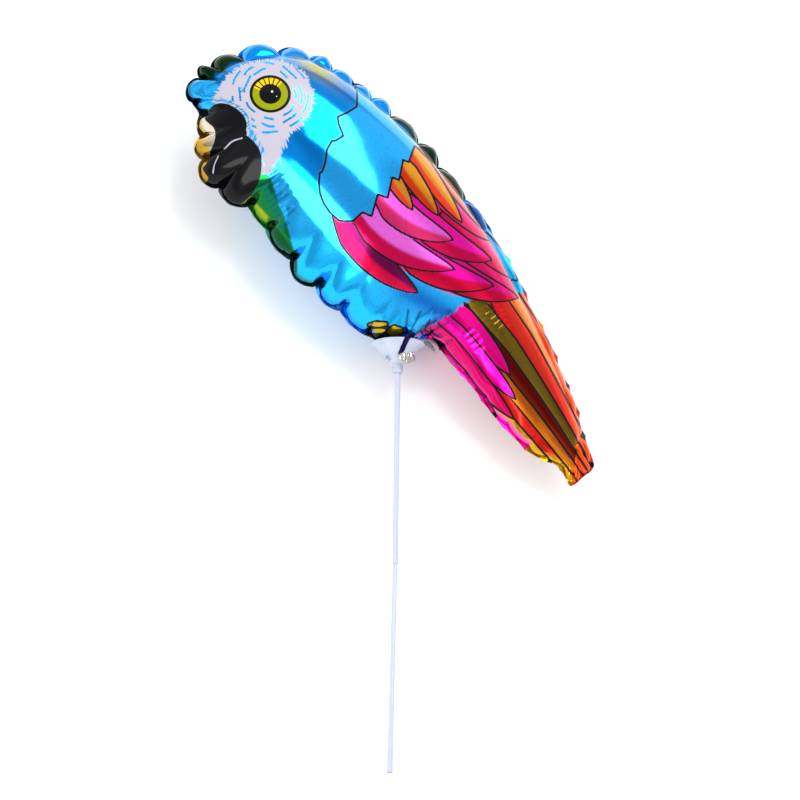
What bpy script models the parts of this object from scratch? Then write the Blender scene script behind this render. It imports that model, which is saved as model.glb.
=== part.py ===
"""Parrot foil balloon on a cup and stick, lying on its side.

The foil envelope is drawn in its own seam plane: x runs from the head to the
tail, y towards the bird's back, z out of the near sheet. The whole toy is then
laid down on the far sheet's flat spot and the end of its stick. Metres, +Z up.
"""
import math

import bmesh
import bpy
import numpy as np
from mathutils import Matrix, Vector

MM = 0.001

# Driving sizes of the foil envelope
BALLOON_LENGTH = 0.420
PLUMPNESS = 0.88            # half thickness against that of a full round tube
FLANGE_THICKNESS = 0.9 * MM
FLANGE_AT_PINCH = 3.6 * MM
FLANGE_AT_TIP = 1.2 * MM
SEAM_WAVE = 1.3 * MM        # how far the seam wanders out of its plane, lobe by lobe
FLAT_SPOT_DEPTH = 1.3 * MM  # how much of the far sheet's belly is pressed flat

# Driving sizes of the cup
CUP_RIM_RADIUS = 20.0 * MM
CUP_WALL = 1.0 * MM
CUP_FUNNEL_DEPTH = 15.0 * MM
CUP_COLLAR_LENGTH = 8.0 * MM
CUP_COLLAR_RADIUS = 3.95 * MM
CUP_FOOT_RADIUS = 6.0 * MM  # outer radius where the funnel runs into its collar's shoulder
CUP_FLOOR = 1.5 * MM        # plastic between the funnel's pit and the stick's socket
FUNNEL_HOLLOW_INSIDE = 1.35   # power of the funnel's curve: 1 is a straight cone
FUNNEL_HOLLOW_OUTSIDE = 1.25

# Driving sizes of the stick
STICK_LENGTH = 0.3075       # showing, from the collar's mouth to the far end
STICK_JOINT_AT = 0.1475     # showing length of the upper tube
UPPER_RADIUS = 2.2 * MM
LOWER_RADIUS = 1.95 * MM
TUBE_WALL = 0.6 * MM
PLUG_LENGTH = 10.0 * MM     # how far the lower tube's necked end sits in the upper tube
END_FLARE = 0.25 * MM
FLARE_LENGTH = 4.0 * MM
STICK_LEAN = math.radians(-0.7)

# Clearances
FIT = 0.3 * MM              # between two pieces that touch
SOCKET_FIT = 0.15 * MM      # between a tube and the socket or tube it plugs into
FOIL_TO_CUP = 0.9 * MM      # between the foil and the funnel that it is pressed into
FOIL_GIVE = 2.5 * MM        # over which the foil eases into that pressed shape
FOIL_REACH = 4.0 * MM       # beyond the rim, where the cup still presses on the foil
MERGE = 1e-6                # points closer than this are one point

# Where the cup and stick sit, in the seam plane
CUP_CENTRE = (195.8, -38.5)             # the middle of the rim, on the balloon's drawing
STICK_TURN = math.radians(-45.7)        # from the head-to-tail axis
IMAGE_TURN = math.radians(-47.0)        # head-to-tail axis against world +X

# The envelope's edge, drawn at DRAWING_LENGTH in millimetres and clockwise from the head's top.
# Each scallop ends at (x, y) on the round body's own edge; the seam stands out from that
# edge by the third number in the scallop's middle and by the fourth at its end.
DRAWING_LENGTH = 420.0
SCALLOPS = [
    (31.2, 72.5, 7.4, 2.6), (48.2, 75.5, 8.6, 1.6), (67.6, 77.8, 9.2, 0.6), (96, 79, 9.4, 0.6),
    (119, 77.6, 9.2, 0.8), (150.8, 74.8, 8.4, 2), (177.7, 70.8, 7, 5.5), (204.6, 64.8, 6, 5.8),
    (231.5, 57, 5.6, 5), (257.5, 49.5, 4.8, 4.4), (282.5, 41.5, 4.2, 3.6),
    (304.4, 33.5, 3.4, 2.8), (324.3, 25.5, 2.8, 2.2), (340.3, 17, 2.2, 1.2),
    (359.5, 8, 1.4, 0.4), (360.2, -2.5, 2.4, 0), (359.8, -12.2, 2.2, 0.4),
    (347.9, -8.6, 1.6, 0.8), (333.5, -13.8, 1.4, 1), (317.8, -18, 1.8, 1), (295, -18.6, 2.2, 1),
    (270.1, -16.6, 2, 1), (245.1, -14.8, 1.8, 1), (219.9, -13.8, 1.4, 0.2),
    (205.8, -18.2, 0.2, 0), (202.3, -29.6, 0, 0), (196.4, -40, 0.3, 0), (186.6, -46.6, 0.6, 0.4),
    (173.8, -49.2, 1.4, 0.6), (147.8, -50.6, 4.2, 0.6), (122.4, -51.4, 8, 0.6),
    (95.1, -51.8, 10.2, 0.6), (66.2, -49.8, 6.6, 0.6), (43.7, -48, 3.4, 0.4),
    (18.9, -54.6, 8.8, 0.6), (-2.9, -49.4, 9.8, 0.6), (-15.8, -38.6, 8, 0.6),
    (-28.9, -27, 5, 0.6), (-39.2, -24.2, 2.4, 0.6), (-47.6, -9.2, 9, 0.6),
    (-47.3, 1.9, 8.4, 0.6), (-40.2, 22.8, 8, 0.6), (-23, 47.5, 9.6, 0.6), (-4.5, 62.5, 8.6, 0.6),
    (13, 69, 8.2, 0.6)]

# Stretches of the seam, counted in scallops from the top of the head, and their ray counts
BACK = (0, 14)
TAIL = (14, 18)
BELLY = (18, 35)
FACE = (35, 45)
BODY_RAYS = 78
TAIL_RAYS = 10
FACE_RAYS = 44

# How far the sheet has turned up from the seam at each ring round the body, in degrees
RING_TURNS = [0, 5, 10.5, 17, 27, 39, 54, 71, 90]
SCALLOP_HEIGHT = 13.0       # how far up the round body a scallop's bulge reaches
SCALLOP_SHARE = 0.6         # and at most this share of the half thickness, on the slim tail
SCALLOP_ROUNDNESS = 0.7     # power of a scallop's sine outline: below 1 it is fuller
SEAM_EVENING = 3            # points each side that settle the seam's outward direction

# The filling tail by stations about the cup's axis: bearing in degrees (90 is the near side),
# radius past the cup's rim, depth below the rim plane, width and thickness in millimetres.
NECK_STATIONS = [
    (72, -15, -8, 5, 1.2), (72, -8, -6, 5, 1.2), (72, -2, -4, 4.8, 1.1), (72, 1.2, -2, 4.6, 1.1),
    (71, 2, 0.5, 4.4, 1.1), (70, 0.2, 4, 4.2, 1.2), (68, -4, 7.5, 4, 1.4),
    (64, -7, 10, 3.6, 1.8), (56, -8, 12, 4.5, 2), (36, -7.5, 12.5, 8, 2.2), (12, -7, 12.5, 10, 1.6)]

ROUND_SIDES = 20
FUNNEL_STEPS = 6
TUBE_SIDES = 16
SHARP_ANGLE = math.radians(35)
STEEPEST_LYING = math.radians(25)
HALVINGS = 40

DRAWING_SCALE = BALLOON_LENGTH / DRAWING_LENGTH


def clear_scene():
    for old in list(bpy.data.objects):
        bpy.data.objects.remove(old, do_unlink=True)


def make_material(name, colour, roughness, metallic):
    material = bpy.data.materials.new(name)
    material.use_nodes = True
    shader = material.node_tree.nodes["Principled BSDF"]
    shader.inputs["Base Color"].default_value = (*colour, 1.0)
    shader.inputs["Roughness"].default_value = roughness
    shader.inputs["Metallic"].default_value = metallic
    return material


def make_object(name, mesh_builder, material):
    """Turn a finished bmesh into a named, smooth-shaded object."""
    mesh = bpy.data.meshes.new(name)
    bmesh.ops.recalc_face_normals(mesh_builder, faces=mesh_builder.faces)
    mesh_builder.to_mesh(mesh)
    mesh_builder.free()
    mesh.shade_smooth()
    mesh.set_sharp_from_angle(angle=SHARP_ANGLE)
    mesh.materials.append(material)
    piece = bpy.data.objects.new(name, mesh)
    bpy.context.collection.objects.link(piece)
    return piece


def body_point(place):
    """The round body's edge at a place counted in scallops: a smooth curve through their ends."""
    index = int(place) % len(SCALLOPS)
    share = place - int(place)
    before, first, last, after = [np.array(SCALLOPS[(index + k) % len(SCALLOPS)][:2], float)
                                  for k in (-2, -1, 0, 1)]
    return 0.5 * (2 * first + (last - before) * share
                  + (2 * before - 5 * first + 4 * last - after) * share ** 2
                  + (3 * first - before - 3 * last + after) * share ** 3)


def seam_rise(place):
    """How far the seam stands out from the body's edge, and how near it is to a scallop's tip."""
    index = int(place) % len(SCALLOPS)
    share = place - int(place)
    middle = SCALLOPS[index][2]
    pinch = SCALLOPS[index - 1][3] * (1 - share) + SCALLOPS[index][3] * share
    bulge = math.sin(math.pi * share) ** SCALLOP_ROUNDNESS
    return pinch + (middle - pinch) * bulge, bulge


def spread_rays(stretch, count):
    """Places along a stretch of the seam, evenly spread, with one at every scallop's end."""
    stops = np.arange(stretch[0], stretch[1] + 1)
    ends = [body_point(place % len(SCALLOPS)) for place in stops]
    lengths = [np.linalg.norm(b - a) for a, b in zip(ends, ends[1:])]
    nodes = np.round(np.concatenate([[0.0], np.cumsum(lengths)]) / sum(lengths) * count)
    return np.interp(np.arange(count + 1), nodes, stops)


def flat_rings():
    """The drawn body as rays from its edge in to a middle line, fanned at head and tail.

    Returns the rays' places on the seam, the flat points by ray and ring, and each ray's
    number on the middle line, where the rays of the back and belly meet.
    """
    back, tail = spread_rays(BACK, BODY_RAYS), spread_rays(TAIL, TAIL_RAYS)
    belly, face = spread_rays(BELLY, BODY_RAYS), spread_rays(FACE, FACE_RAYS)
    places = np.concatenate([back[:-1], tail[:-1], belly[:-1], face[:-1]])
    edge = np.array([body_point(place) for place in places])
    back_edge = np.array([body_point(place) for place in back])
    belly_edge = np.array([body_point(place) for place in belly[::-1]])
    middle = 0.5 * (back_edge + belly_edge)
    station = np.concatenate([np.arange(BODY_RAYS), np.full(TAIL_RAYS, BODY_RAYS),
                              np.arange(BODY_RAYS, 0, -1), np.zeros(FACE_RAYS)]).astype(int)
    inner = middle[station][:, None]
    share = np.cos(np.radians(RING_TURNS))[None, :, None]
    return places, inner + (edge[:, None] - inner) * share, station


def ring_triangles(station):
    """Corner numbers of the flat mesh's triangles; the last ring's points are the middle line's."""
    rays, rings = len(station), len(RING_TURNS)
    number = np.arange(rays * (rings - 1)).reshape(rays, rings - 1)
    number = np.concatenate([number, number.size + station[:, None]], 1)
    beside = np.roll(number, -1, 0)
    a, b = number[:, :-1].ravel(), beside[:, :-1].ravel()
    c, d = beside[:, 1:].ravel(), number[:, 1:].ravel()
    triangles = np.concatenate([np.stack([a, b, c], 1), np.stack([a, c, d], 1)])
    return number, triangles[triangles[:, 1] != triangles[:, 2]]


def inflate(flat, station):
    """Half thickness at each flat point.

    A pressed sheet of film held along its edge stands as the membrane equation says; the
    root of twice that height makes a long strip a round tube and a disc a flat pillow.
    """
    number, triangles = ring_triangles(station)
    count = number.max() + 1
    points = np.zeros((count, 2))
    points[number] = flat
    stiffness, load = np.zeros((count, count)), np.zeros(count)
    p = points[triangles]
    sides = np.stack([p[:, 2] - p[:, 1], p[:, 0] - p[:, 2], p[:, 1] - p[:, 0]], 1)
    area = 0.5 * np.abs(sides[:, 0, 0] * sides[:, 1, 1] - sides[:, 0, 1] * sides[:, 1, 0])
    for m in range(3):
        np.add.at(load, triangles[:, m], area / 3)
        for n in range(3):
            value = (sides[:, m] * sides[:, n]).sum(1) / (4 * area)
            np.add.at(stiffness, (triangles[:, m], triangles[:, n]), value)
    free = np.ones(count, bool)
    free[number[:, 0]] = False
    height = np.zeros(count)
    height[free] = np.linalg.solve(stiffness[np.ix_(free, free)], load[free])
    return PLUMPNESS * np.sqrt(2 * np.maximum(height, 0))[number]


def cup_axis():
    return Vector((math.cos(STICK_TURN), math.sin(STICK_TURN), 0.0))


def cup_centre():
    return Vector((CUP_CENTRE[0], CUP_CENTRE[1], 0.0)) * DRAWING_SCALE


def funnel_inside(radius):
    """How deep the funnel's inner face lies at a radius, measured from the rim plane."""
    inner_rim = CUP_RIM_RADIUS - CUP_WALL
    share = (inner_rim - radius) / (inner_rim - CUP_COLLAR_RADIUS)
    return CUP_FUNNEL_DEPTH * min(max(share, 0.0), 1.0) ** FUNNEL_HOLLOW_INSIDE


def seat_in_cup(point):
    """Press a point of the foil up where the cup's rim and funnel stand in its way."""
    offset = point - cup_centre()
    depth = offset.dot(cup_axis())
    radius = (offset - depth * cup_axis()).length
    easing_from = funnel_inside(radius) - FOIL_TO_CUP - FOIL_GIVE
    if radius > CUP_RIM_RADIUS + FOIL_REACH or depth < easing_from:
        return point
    pressed = easing_from + FOIL_GIVE * (1 - math.exp((easing_from - depth) / FOIL_GIVE))
    return point + (pressed - depth) * cup_axis()


def build_envelope():
    """The two sheets of the sealed envelope with the flat weld that runs round them."""
    places, flat, station = flat_rings()
    half = inflate(flat, station)
    outward = outward_of_loop(flat[:, 0])
    rises, bulges = np.array([seam_rise(place) for place in places]).T
    wave = SEAM_WAVE / DRAWING_SCALE * np.sin(math.pi * places)
    reach = np.minimum(SCALLOP_HEIGHT, SCALLOP_SHARE * half[:, -1:])
    fade = np.sqrt(1 - np.minimum(half / reach, 1.0) ** 2)
    flat = flat + fade[..., None] * (outward * rises[:, None])[:, None]
    lift = fade * wave[:, None]
    width = (FLANGE_AT_PINCH + (FLANGE_AT_TIP - FLANGE_AT_PINCH) * bulges) / DRAWING_SCALE
    flange = flat[:, 0] + outward * width[:, None]
    lip = 0.5 * FLANGE_THICKNESS / DRAWING_SCALE

    builder = bmesh.new()

    def add_ring(points, heights):
        return [builder.verts.new(seat_in_cup(Vector((x, y, z)) * DRAWING_SCALE))
                for (x, y), z in zip(points, heights)]

    def bridge(first, second):
        for k in range(len(first)):
            n = (k + 1) % len(first)
            builder.faces.new((first[k], first[n], second[n], second[k]))

    near_rim, far_rim = add_ring(flange, wave + lip), add_ring(flange, wave - lip)
    bridge(near_rim, far_rim)
    for side, outer in ((1, near_rim), (-1, far_rim)):
        for ring in range(len(RING_TURNS)):
            inner = add_ring(flat[:, ring], lift[:, ring] + side * (half[:, ring] + lip))
            bridge(outer, inner)
            outer = inner
    bmesh.ops.remove_doubles(builder, verts=builder.verts, dist=MERGE)
    bmesh.ops.recalc_face_normals(builder, faces=builder.faces)
    return builder


def outward_of_loop(loop):
    """Outward directions of the seam, evened out over a few points on each side."""
    ahead = np.roll(loop, -SEAM_EVENING, 0) - np.roll(loop, SEAM_EVENING, 0)
    outward = np.stack([-ahead[:, 1], ahead[:, 0]], 1)
    return outward / np.linalg.norm(outward, axis=1)[:, None]


def build_cup():
    """The funnel, its collar and the blind socket for the stick; the rim plane is z = 0."""
    inner_rim = CUP_RIM_RADIUS - CUP_WALL
    inner_run = CUP_COLLAR_RADIUS - inner_rim
    foot_run = CUP_RIM_RADIUS - CUP_FOOT_RADIUS
    bore = UPPER_RADIUS + SOCKET_FIT
    shares = [i / FUNNEL_STEPS for i in range(FUNNEL_STEPS + 1)]
    inside = [(inner_rim + inner_run * share, -funnel_inside(inner_rim + inner_run * share))
              for share in shares]
    outside = [(CUP_FOOT_RADIUS + foot_run * share, -CUP_WALL - (CUP_FUNNEL_DEPTH - CUP_WALL)
                * (1 - share) ** FUNNEL_HOLLOW_OUTSIDE) for share in shares]
    mouth = -CUP_FUNNEL_DEPTH - CUP_COLLAR_LENGTH
    collar = [(bore, socket_top()), (bore, mouth), (CUP_COLLAR_RADIUS, mouth),
              (CUP_COLLAR_RADIUS, -CUP_FUNNEL_DEPTH - CUP_WALL)]
    profile = inside + [(0.0, -CUP_FUNNEL_DEPTH), (0.0, socket_top())] + collar + outside
    profile.append((CUP_RIM_RADIUS, 0.0))
    return turned(profile, ROUND_SIDES)


def socket_top():
    return -CUP_FUNNEL_DEPTH - CUP_FLOOR


def turned(profile, sides):
    """Spin a closed profile of (radius, height) points about +Z; an edge on the axis is left out."""
    builder = bmesh.new()
    points = [builder.verts.new((radius, 0.0, height)) for radius, height in profile]
    edges = [builder.edges.new((a, b)) for a, b in zip(points, points[1:] + points[:1])
             if a.co.x or b.co.x]
    bmesh.ops.spin(builder, geom=points + edges, cent=(0, 0, 0), axis=(0, 0, 1),
                   angle=2 * math.pi, steps=sides, use_merge=True)
    bmesh.ops.remove_doubles(builder, verts=builder.verts, dist=MERGE)
    return builder


def build_upper_tube():
    """Plain tube; z = 0 is the collar's mouth and the tube runs down -Z."""
    top = CUP_COLLAR_LENGTH - CUP_FLOOR - FIT
    bore = UPPER_RADIUS - TUBE_WALL
    return turned([(bore, top), (bore, -STICK_JOINT_AT), (UPPER_RADIUS, -STICK_JOINT_AT),
                   (UPPER_RADIUS, top)], TUBE_SIDES)


def build_lower_tube():
    """Tube with a necked plug above z = 0 and a slightly flared open end below."""
    length = STICK_LENGTH - STICK_JOINT_AT - FIT
    plug = UPPER_RADIUS - TUBE_WALL - SOCKET_FIT
    bore = LOWER_RADIUS - TUBE_WALL
    plug_bore = plug - TUBE_WALL
    flare_from = -length + FLARE_LENGTH
    profile = [(plug_bore, PLUG_LENGTH), (plug_bore, -FLARE_LENGTH), (bore, -2 * FLARE_LENGTH),
               (bore, flare_from), (bore + END_FLARE, -length), (LOWER_RADIUS + END_FLARE, -length),
               (LOWER_RADIUS, flare_from), (LOWER_RADIUS, 0.0), (plug, 0.0), (plug, PLUG_LENGTH)]
    return turned(profile, TUBE_SIDES)


def build_filling_neck():
    """The flat filling tail: out of the cup, over its rim and down outside, its end bunched."""
    axis = cup_axis()
    side = Vector((-axis.y, axis.x, 0.0))
    builder = bmesh.new()
    rings = []
    for bearing, past_rim, depth, width, thickness in NECK_STATIONS:
        turn = math.radians(bearing)
        radius = CUP_RIM_RADIUS + past_rim * MM
        outward = side * math.cos(turn) + Vector((0, 0, 1)) * math.sin(turn)
        across = -side * math.sin(turn) + Vector((0, 0, 1)) * math.cos(turn)
        middle = cup_centre() + outward * radius + axis * depth * MM
        rings.append((middle, across * 0.5 * width * MM, thickness * MM))
    sections = []
    for k, (middle, half_width, thickness) in enumerate(rings):
        before, after = rings[max(k - 1, 0)][0], rings[min(k + 1, len(rings) - 1)][0]
        along = (after - before).normalized()
        lift = along.cross(half_width).normalized() * 0.5 * thickness
        sections.append([builder.verts.new(middle + half_width + lift),
                         builder.verts.new(middle - half_width + lift),
                         builder.verts.new(middle - half_width - lift),
                         builder.verts.new(middle + half_width - lift)])
    for low, high in zip(sections, sections[1:]):
        for m in range(4):
            n = (m + 1) % 4
            builder.faces.new((low[m], low[n], high[n], high[m]))
    builder.faces.new(sections[0][::-1])
    builder.faces.new(sections[-1])
    return builder


def reach_along(points, down):
    return max(point.dot(down) for point in points)


def lying_turn(envelope_points, end_points, centre, end):
    """The tilt that sets the flat spot and the stick's end on one floor, by halving."""
    towards = Vector((end.x - centre.x, end.y - centre.y, 0.0)).normalized()
    tilt_axis = Vector((0, 0, 1)).cross(towards)
    low, high = 0.0, STEEPEST_LYING
    for _ in range(HALVINGS):
        middle = 0.5 * (low + high)
        down = Matrix.Rotation(-middle, 3, tilt_axis) @ Vector((0, 0, -1))
        spot = reach_along(envelope_points, down) - FLAT_SPOT_DEPTH
        if reach_along(end_points, down) < spot:
            low = middle
        else:
            high = middle
    return Matrix.Rotation(low, 3, tilt_axis)


def press_flat_spot(builder, down):
    """Cut the belly off flat where it meets the floor."""
    reach = reach_along([vert.co for vert in builder.verts], down) - FLAT_SPOT_DEPTH
    cut = bmesh.ops.bisect_plane(
        builder, geom=builder.verts[:] + builder.edges[:] + builder.faces[:], dist=MERGE,
        plane_co=down * reach, plane_no=down, clear_outer=True)
    border = [item for item in cut["geom_cut"] if isinstance(item, bmesh.types.BMEdge)]
    bmesh.ops.contextual_create(builder, geom=border)


def union_with(piece, other):
    """Join another closed shape into a piece; the other stays as a hidden guide."""
    other.hide_render = True
    other.display_type = "WIRE"
    join = piece.modifiers.new("join", "BOOLEAN")
    join.operation = "UNION"
    join.solver = "EXACT"
    join.object = other


def frame_along(direction):
    """A turn that takes local -Z to a direction in the seam plane and local Y to the near side."""
    down = direction.normalized()
    near = Vector((0, 0, 1))
    return Matrix((near.cross(-down), near, -down)).transposed()


def main():
    clear_scene()
    foil = make_material("foil", (0.10, 0.45, 0.75), 0.18, 1.0)
    white_plastic = make_material("white plastic", (0.84, 0.86, 0.93), 0.42, 0.0)
    axis = cup_axis()
    mouth = cup_centre() + axis * (CUP_FUNNEL_DEPTH + CUP_COLLAR_LENGTH)
    plug_middle = mouth + axis * (STICK_JOINT_AT - 0.5 * PLUG_LENGTH)
    lean = Matrix.Rotation(STICK_LEAN, 3, "Z")
    lower_axis = lean @ axis
    lower_start = plug_middle + lower_axis * (0.5 * PLUG_LENGTH + FIT)

    envelope = build_envelope()
    lower = build_lower_tube()
    lower_turn = frame_along(lower_axis)
    end_height = min(vert.co.z for vert in lower.verts)
    end_points = [lower_turn @ vert.co + lower_start for vert in lower.verts
                  if vert.co.z < end_height + FIT]
    end = sum(end_points, Vector()) / len(end_points)
    envelope_points = [vert.co.copy() for vert in envelope.verts]
    centre = sum(envelope_points, Vector()) / len(envelope_points)
    lying = lying_turn(envelope_points, end_points, centre, end)
    press_flat_spot(envelope, lying.inverted() @ Vector((0, 0, -1)))

    toy = bpy.data.objects.new("toy", None)
    bpy.context.collection.objects.link(toy)
    pieces = {
        "foil_balloon": (envelope, foil, Vector(), Matrix.Identity(3)),
        "balloon_cup": (build_cup(), white_plastic, cup_centre(), frame_along(axis)),
        "stick_upper": (build_upper_tube(), white_plastic, mouth, frame_along(axis)),
        "stick_lower": (lower, white_plastic, lower_start, lower_turn),
    }
    placed = []
    for name, (builder, material, place, turn) in pieces.items():
        piece = make_object(name, builder, material)
        piece.parent = toy
        piece.location = place
        piece.rotation_euler = turn.to_euler()
        placed.append((piece, Matrix.Translation(place) @ turn.to_4x4()))
    neck = make_object("filling_neck_guide", build_filling_neck(), foil)
    neck.parent = toy
    union_with(placed[0][0], neck)

    turn = Matrix.Rotation(IMAGE_TURN, 3, "Z") @ lying
    corners = [turn @ (place @ vert.co) for piece, place in placed for vert in piece.data.vertices]
    lowest = Vector(min(corner[k] for corner in corners) for k in range(3))
    highest = Vector(max(corner[k] for corner in corners) for k in range(3))
    toy.rotation_euler = turn.to_euler()
    toy.location = Vector((-0.5 * (lowest.x + highest.x), -0.5 * (lowest.y + highest.y), -lowest.z))


main()
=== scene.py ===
"""Parrot foil balloon on its cup and stick, lying on its side on a pale studio floor.

The balloon is worked out in its own seam plane, in millimetres: x runs from the head to
the tail, y towards the bird's back and z out of the near sheet. One turn and one shift
then lay it down in the frame, in metres.
"""
import math

import bmesh
import bpy
import numpy as np
from mathutils import Matrix, Vector, noise


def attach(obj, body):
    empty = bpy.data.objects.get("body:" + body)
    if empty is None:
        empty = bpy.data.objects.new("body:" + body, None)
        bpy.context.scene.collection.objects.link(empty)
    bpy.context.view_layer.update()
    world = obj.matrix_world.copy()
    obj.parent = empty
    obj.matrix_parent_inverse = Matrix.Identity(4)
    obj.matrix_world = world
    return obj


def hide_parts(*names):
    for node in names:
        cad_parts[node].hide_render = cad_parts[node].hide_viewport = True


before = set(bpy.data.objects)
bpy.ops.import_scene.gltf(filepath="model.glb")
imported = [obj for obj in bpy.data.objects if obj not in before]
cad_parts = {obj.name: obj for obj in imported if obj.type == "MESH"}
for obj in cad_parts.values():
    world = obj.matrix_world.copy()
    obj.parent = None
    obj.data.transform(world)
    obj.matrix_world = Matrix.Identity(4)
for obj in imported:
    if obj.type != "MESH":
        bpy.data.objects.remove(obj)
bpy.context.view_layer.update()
MM = 0.001

# How the toy lies: the seam plane's turn in the image, and its tilt down towards the stick
IMAGE_TURN = math.radians(-47.0)
LYING_TILT = math.radians(6.798)
TILT_BEARING = math.radians(-46.277)
TOY_PLACE = Vector((-0.101118, 0.219026, 0.060616))

# The camera of the photograph: seen from the belly side of the seam plane's normal
CAMERA_TIP = math.radians(21.0)
CAMERA_DISTANCE = 12.0
PIXEL = 0.75 * MM
PHOTO_SIZE = 800
HEAD_PIXEL = (255.0, 120.0)   # where the drawing's zero is in the photograph
SENSOR_WIDTH = 36.0

# The envelope
PLUMPNESS = 0.88
FLANGE_AT_PINCH = 3.6
FLANGE_AT_TIP = 1.2
FLANGE_THICKNESS = 0.9
SEAM_WAVE = 1.3
SCALLOP_HEIGHT = 13.0
SCALLOP_SHARE = 0.6
SCALLOP_ROUNDNESS = 0.7
BELLY_BLEND = 34.0            # on the belly a scallop runs out into the body over this height
BELLY_SHARE = 0.8
BELLY_STOPS = [14.5, 18, 38.5, 40.5]
SEAM_EVENING = 10
BODY_RAYS = 312
TAIL_RAYS = 40
FACE_RAYS = 176
NEAR_RINGS = 72
FAR_RING_STEP = 3
SOLVER_STEPS = 2500
SOLVER_ACCURACY = 1e-7

# Scallop ends on the round body's edge (x, y), and the seam's rise in a scallop's middle and end
SCALLOPS = [
    (31.2, 72.5, 7.4, 2.6), (48.2, 75.5, 8.6, 1.6), (67.6, 77.8, 9.2, 0.6), (96, 79, 9.4, 0.6),
    (119, 77.6, 9.2, 0.8), (150.8, 74.8, 8.4, 2), (177.7, 70.8, 7, 5.5), (204.6, 64.8, 6, 5.8),
    (231.5, 57, 5.6, 5), (257.5, 49.5, 4.8, 4.4), (282.5, 41.5, 4.2, 3.6),
    (304.4, 33.5, 3.4, 2.8), (324.3, 25.5, 2.8, 2.2), (340.3, 17, 2.2, 1.2),
    (359.5, 8, 1.4, 0.4), (360.2, -2.5, 2.4, 0), (359.8, -12.2, 2.2, 0.4),
    (347.9, -8.6, 1.6, 0.8), (333.5, -13.8, 1.4, 1), (317.8, -18, 1.8, 1), (295, -18.6, 2.2, 1),
    (270.1, -16.6, 2, 1), (245.1, -14.8, 1.8, 1), (219.9, -13.8, 1.4, 0.2),
    (205.8, -18.2, 0.2, 0), (202.3, -29.6, 0, 0), (196.4, -40, 0.3, 0), (186.6, -46.6, 0.6, 0.4),
    (173.8, -49.2, 1.4, 0.6), (147.8, -50.6, 4.2, 0.6), (122.4, -51.4, 8, 0.6),
    (95.1, -51.8, 10.2, 0.6), (66.2, -49.8, 6.6, 0.6), (43.7, -48, 3.4, 0.4),
    (18.9, -54.6, 8.8, 0.6), (-2.9, -49.4, 9.8, 0.6), (-15.8, -38.6, 8, 0.6),
    (-28.9, -27, 5, 0.6), (-39.2, -24.2, 2.4, 0.6), (-47.6, -9.2, 9, 0.6),
    (-47.3, 1.9, 8.4, 0.6), (-40.2, 22.8, 8, 0.6), (-23, 47.5, 9.6, 0.6), (-4.5, 62.5, 8.6, 0.6),
    (13, 69, 8.2, 0.6)]
BACK = (0, 14)
TAIL = (14, 18)
BELLY = (18, 35)
FACE = (35, 45)
BROW_SCALLOP = 40             # the forehead's and crown's scallops begin here

# The cup and the stick
CUP_CENTRE = (195.8, -38.5)
STICK_TURN = math.radians(-45.7)
STICK_LEAN = math.radians(-0.7)
CUP_RIM_RADIUS = 20.0
CUP_WALL = 1.0
CUP_FUNNEL_DEPTH = 15.0
CUP_COLLAR_LENGTH = 8.0
CUP_COLLAR_RADIUS = 3.95
CUP_FOOT_RADIUS = 6.0
CUP_FLOOR = 1.5
FUNNEL_HOLLOW_INSIDE = 1.35
FUNNEL_HOLLOW_OUTSIDE = 1.25
FOIL_TO_CUP = 0.9
FOIL_GIVE = 2.5
FOIL_REACH = 4.0
FIT = 0.3
SOCKET_FIT = 0.15
UPPER_RADIUS = 2.2
LOWER_RADIUS = 1.95
TUBE_WALL = 0.6
STICK_LENGTH = 307.5
STICK_JOINT_AT = 147.5
PLUG_LENGTH = 10.0
END_FLARE = 0.25
FLARE_LENGTH = 4.0
CUP_AXIS = np.array([math.cos(STICK_TURN), math.sin(STICK_TURN), 0.0])

# Puckers by stretch of the seam: first scallop, last scallop, depth, reach inwards, fine ones each
PUCKERS = [(0, 3, 1.9, 12, 2), (3, 7, 1.7, 13, 2), (7, 14, 0.5, 9, 2), (14, 18, 1.5, 24, 1),
           (18, 25, 0.3, 9, 2), (25, 28, 0.9, 22, 3), (28, 34, 1.8, 26, 3), (34, 39, 1.6, 15, 2),
           (39, 42, 1.5, 9, 1), (42, 45, 1.9, 11, 2)]
PUCKER_WIDTH = 1.3
PUCKER_SPREAD = 0.07          # widening per mm inwards
PUCKER_RISE = 2.5
PUCKER_LEAN = 0.12
FINE_PUCKER_SHARE = 0.4
PUCKER_SEED = 7
PUFF = 1.0
PUFF_RISE = 4.0
PUFF_REACH = 9.0
WELD_CALM = 2.0               # mm from the weld over which the bumps rise
CRINKLES = [(46.0, 0.45), (17.0, 0.10)]


def linear(hex_colour):
    """An sRGB hex colour as linear red, green and blue."""
    channels = [int(hex_colour[k:k + 2], 16) / 255 for k in (1, 3, 5)]
    return np.array([c / 12.92 if c <= 0.04045 else ((c + 0.055) / 1.055) ** 2.4 for c in channels])


def lying_matrix():
    towards = Vector((math.cos(TILT_BEARING), math.sin(TILT_BEARING), 0.0))
    tilt = Matrix.Rotation(LYING_TILT, 4, Vector((0, 0, 1)).cross(towards))
    return Matrix.Translation(TOY_PLACE) @ Matrix.Rotation(IMAGE_TURN, 4, "Z") @ tilt


LYING = lying_matrix()


def to_frame(points):
    """Seam-plane millimetres to metres in the frame, for an array of points."""
    turn = np.array(LYING.to_3x3())
    return points * MM @ turn.T + np.array(LYING.translation)


def body_edge(places):
    """Points on the round body's edge at places counted in scallops."""
    ends = np.array([scallop[:2] for scallop in SCALLOPS], float)
    index, share = places.astype(int), (places % 1)[:, None]
    before, first, last, after = [ends[(index + k) % len(ends)] for k in (-2, -1, 0, 1)]
    return 0.5 * (2 * first + (last - before) * share
                  + (2 * before - 5 * first + 4 * last - after) * share ** 2
                  + (3 * first - before - 3 * last + after) * share ** 3)


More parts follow.
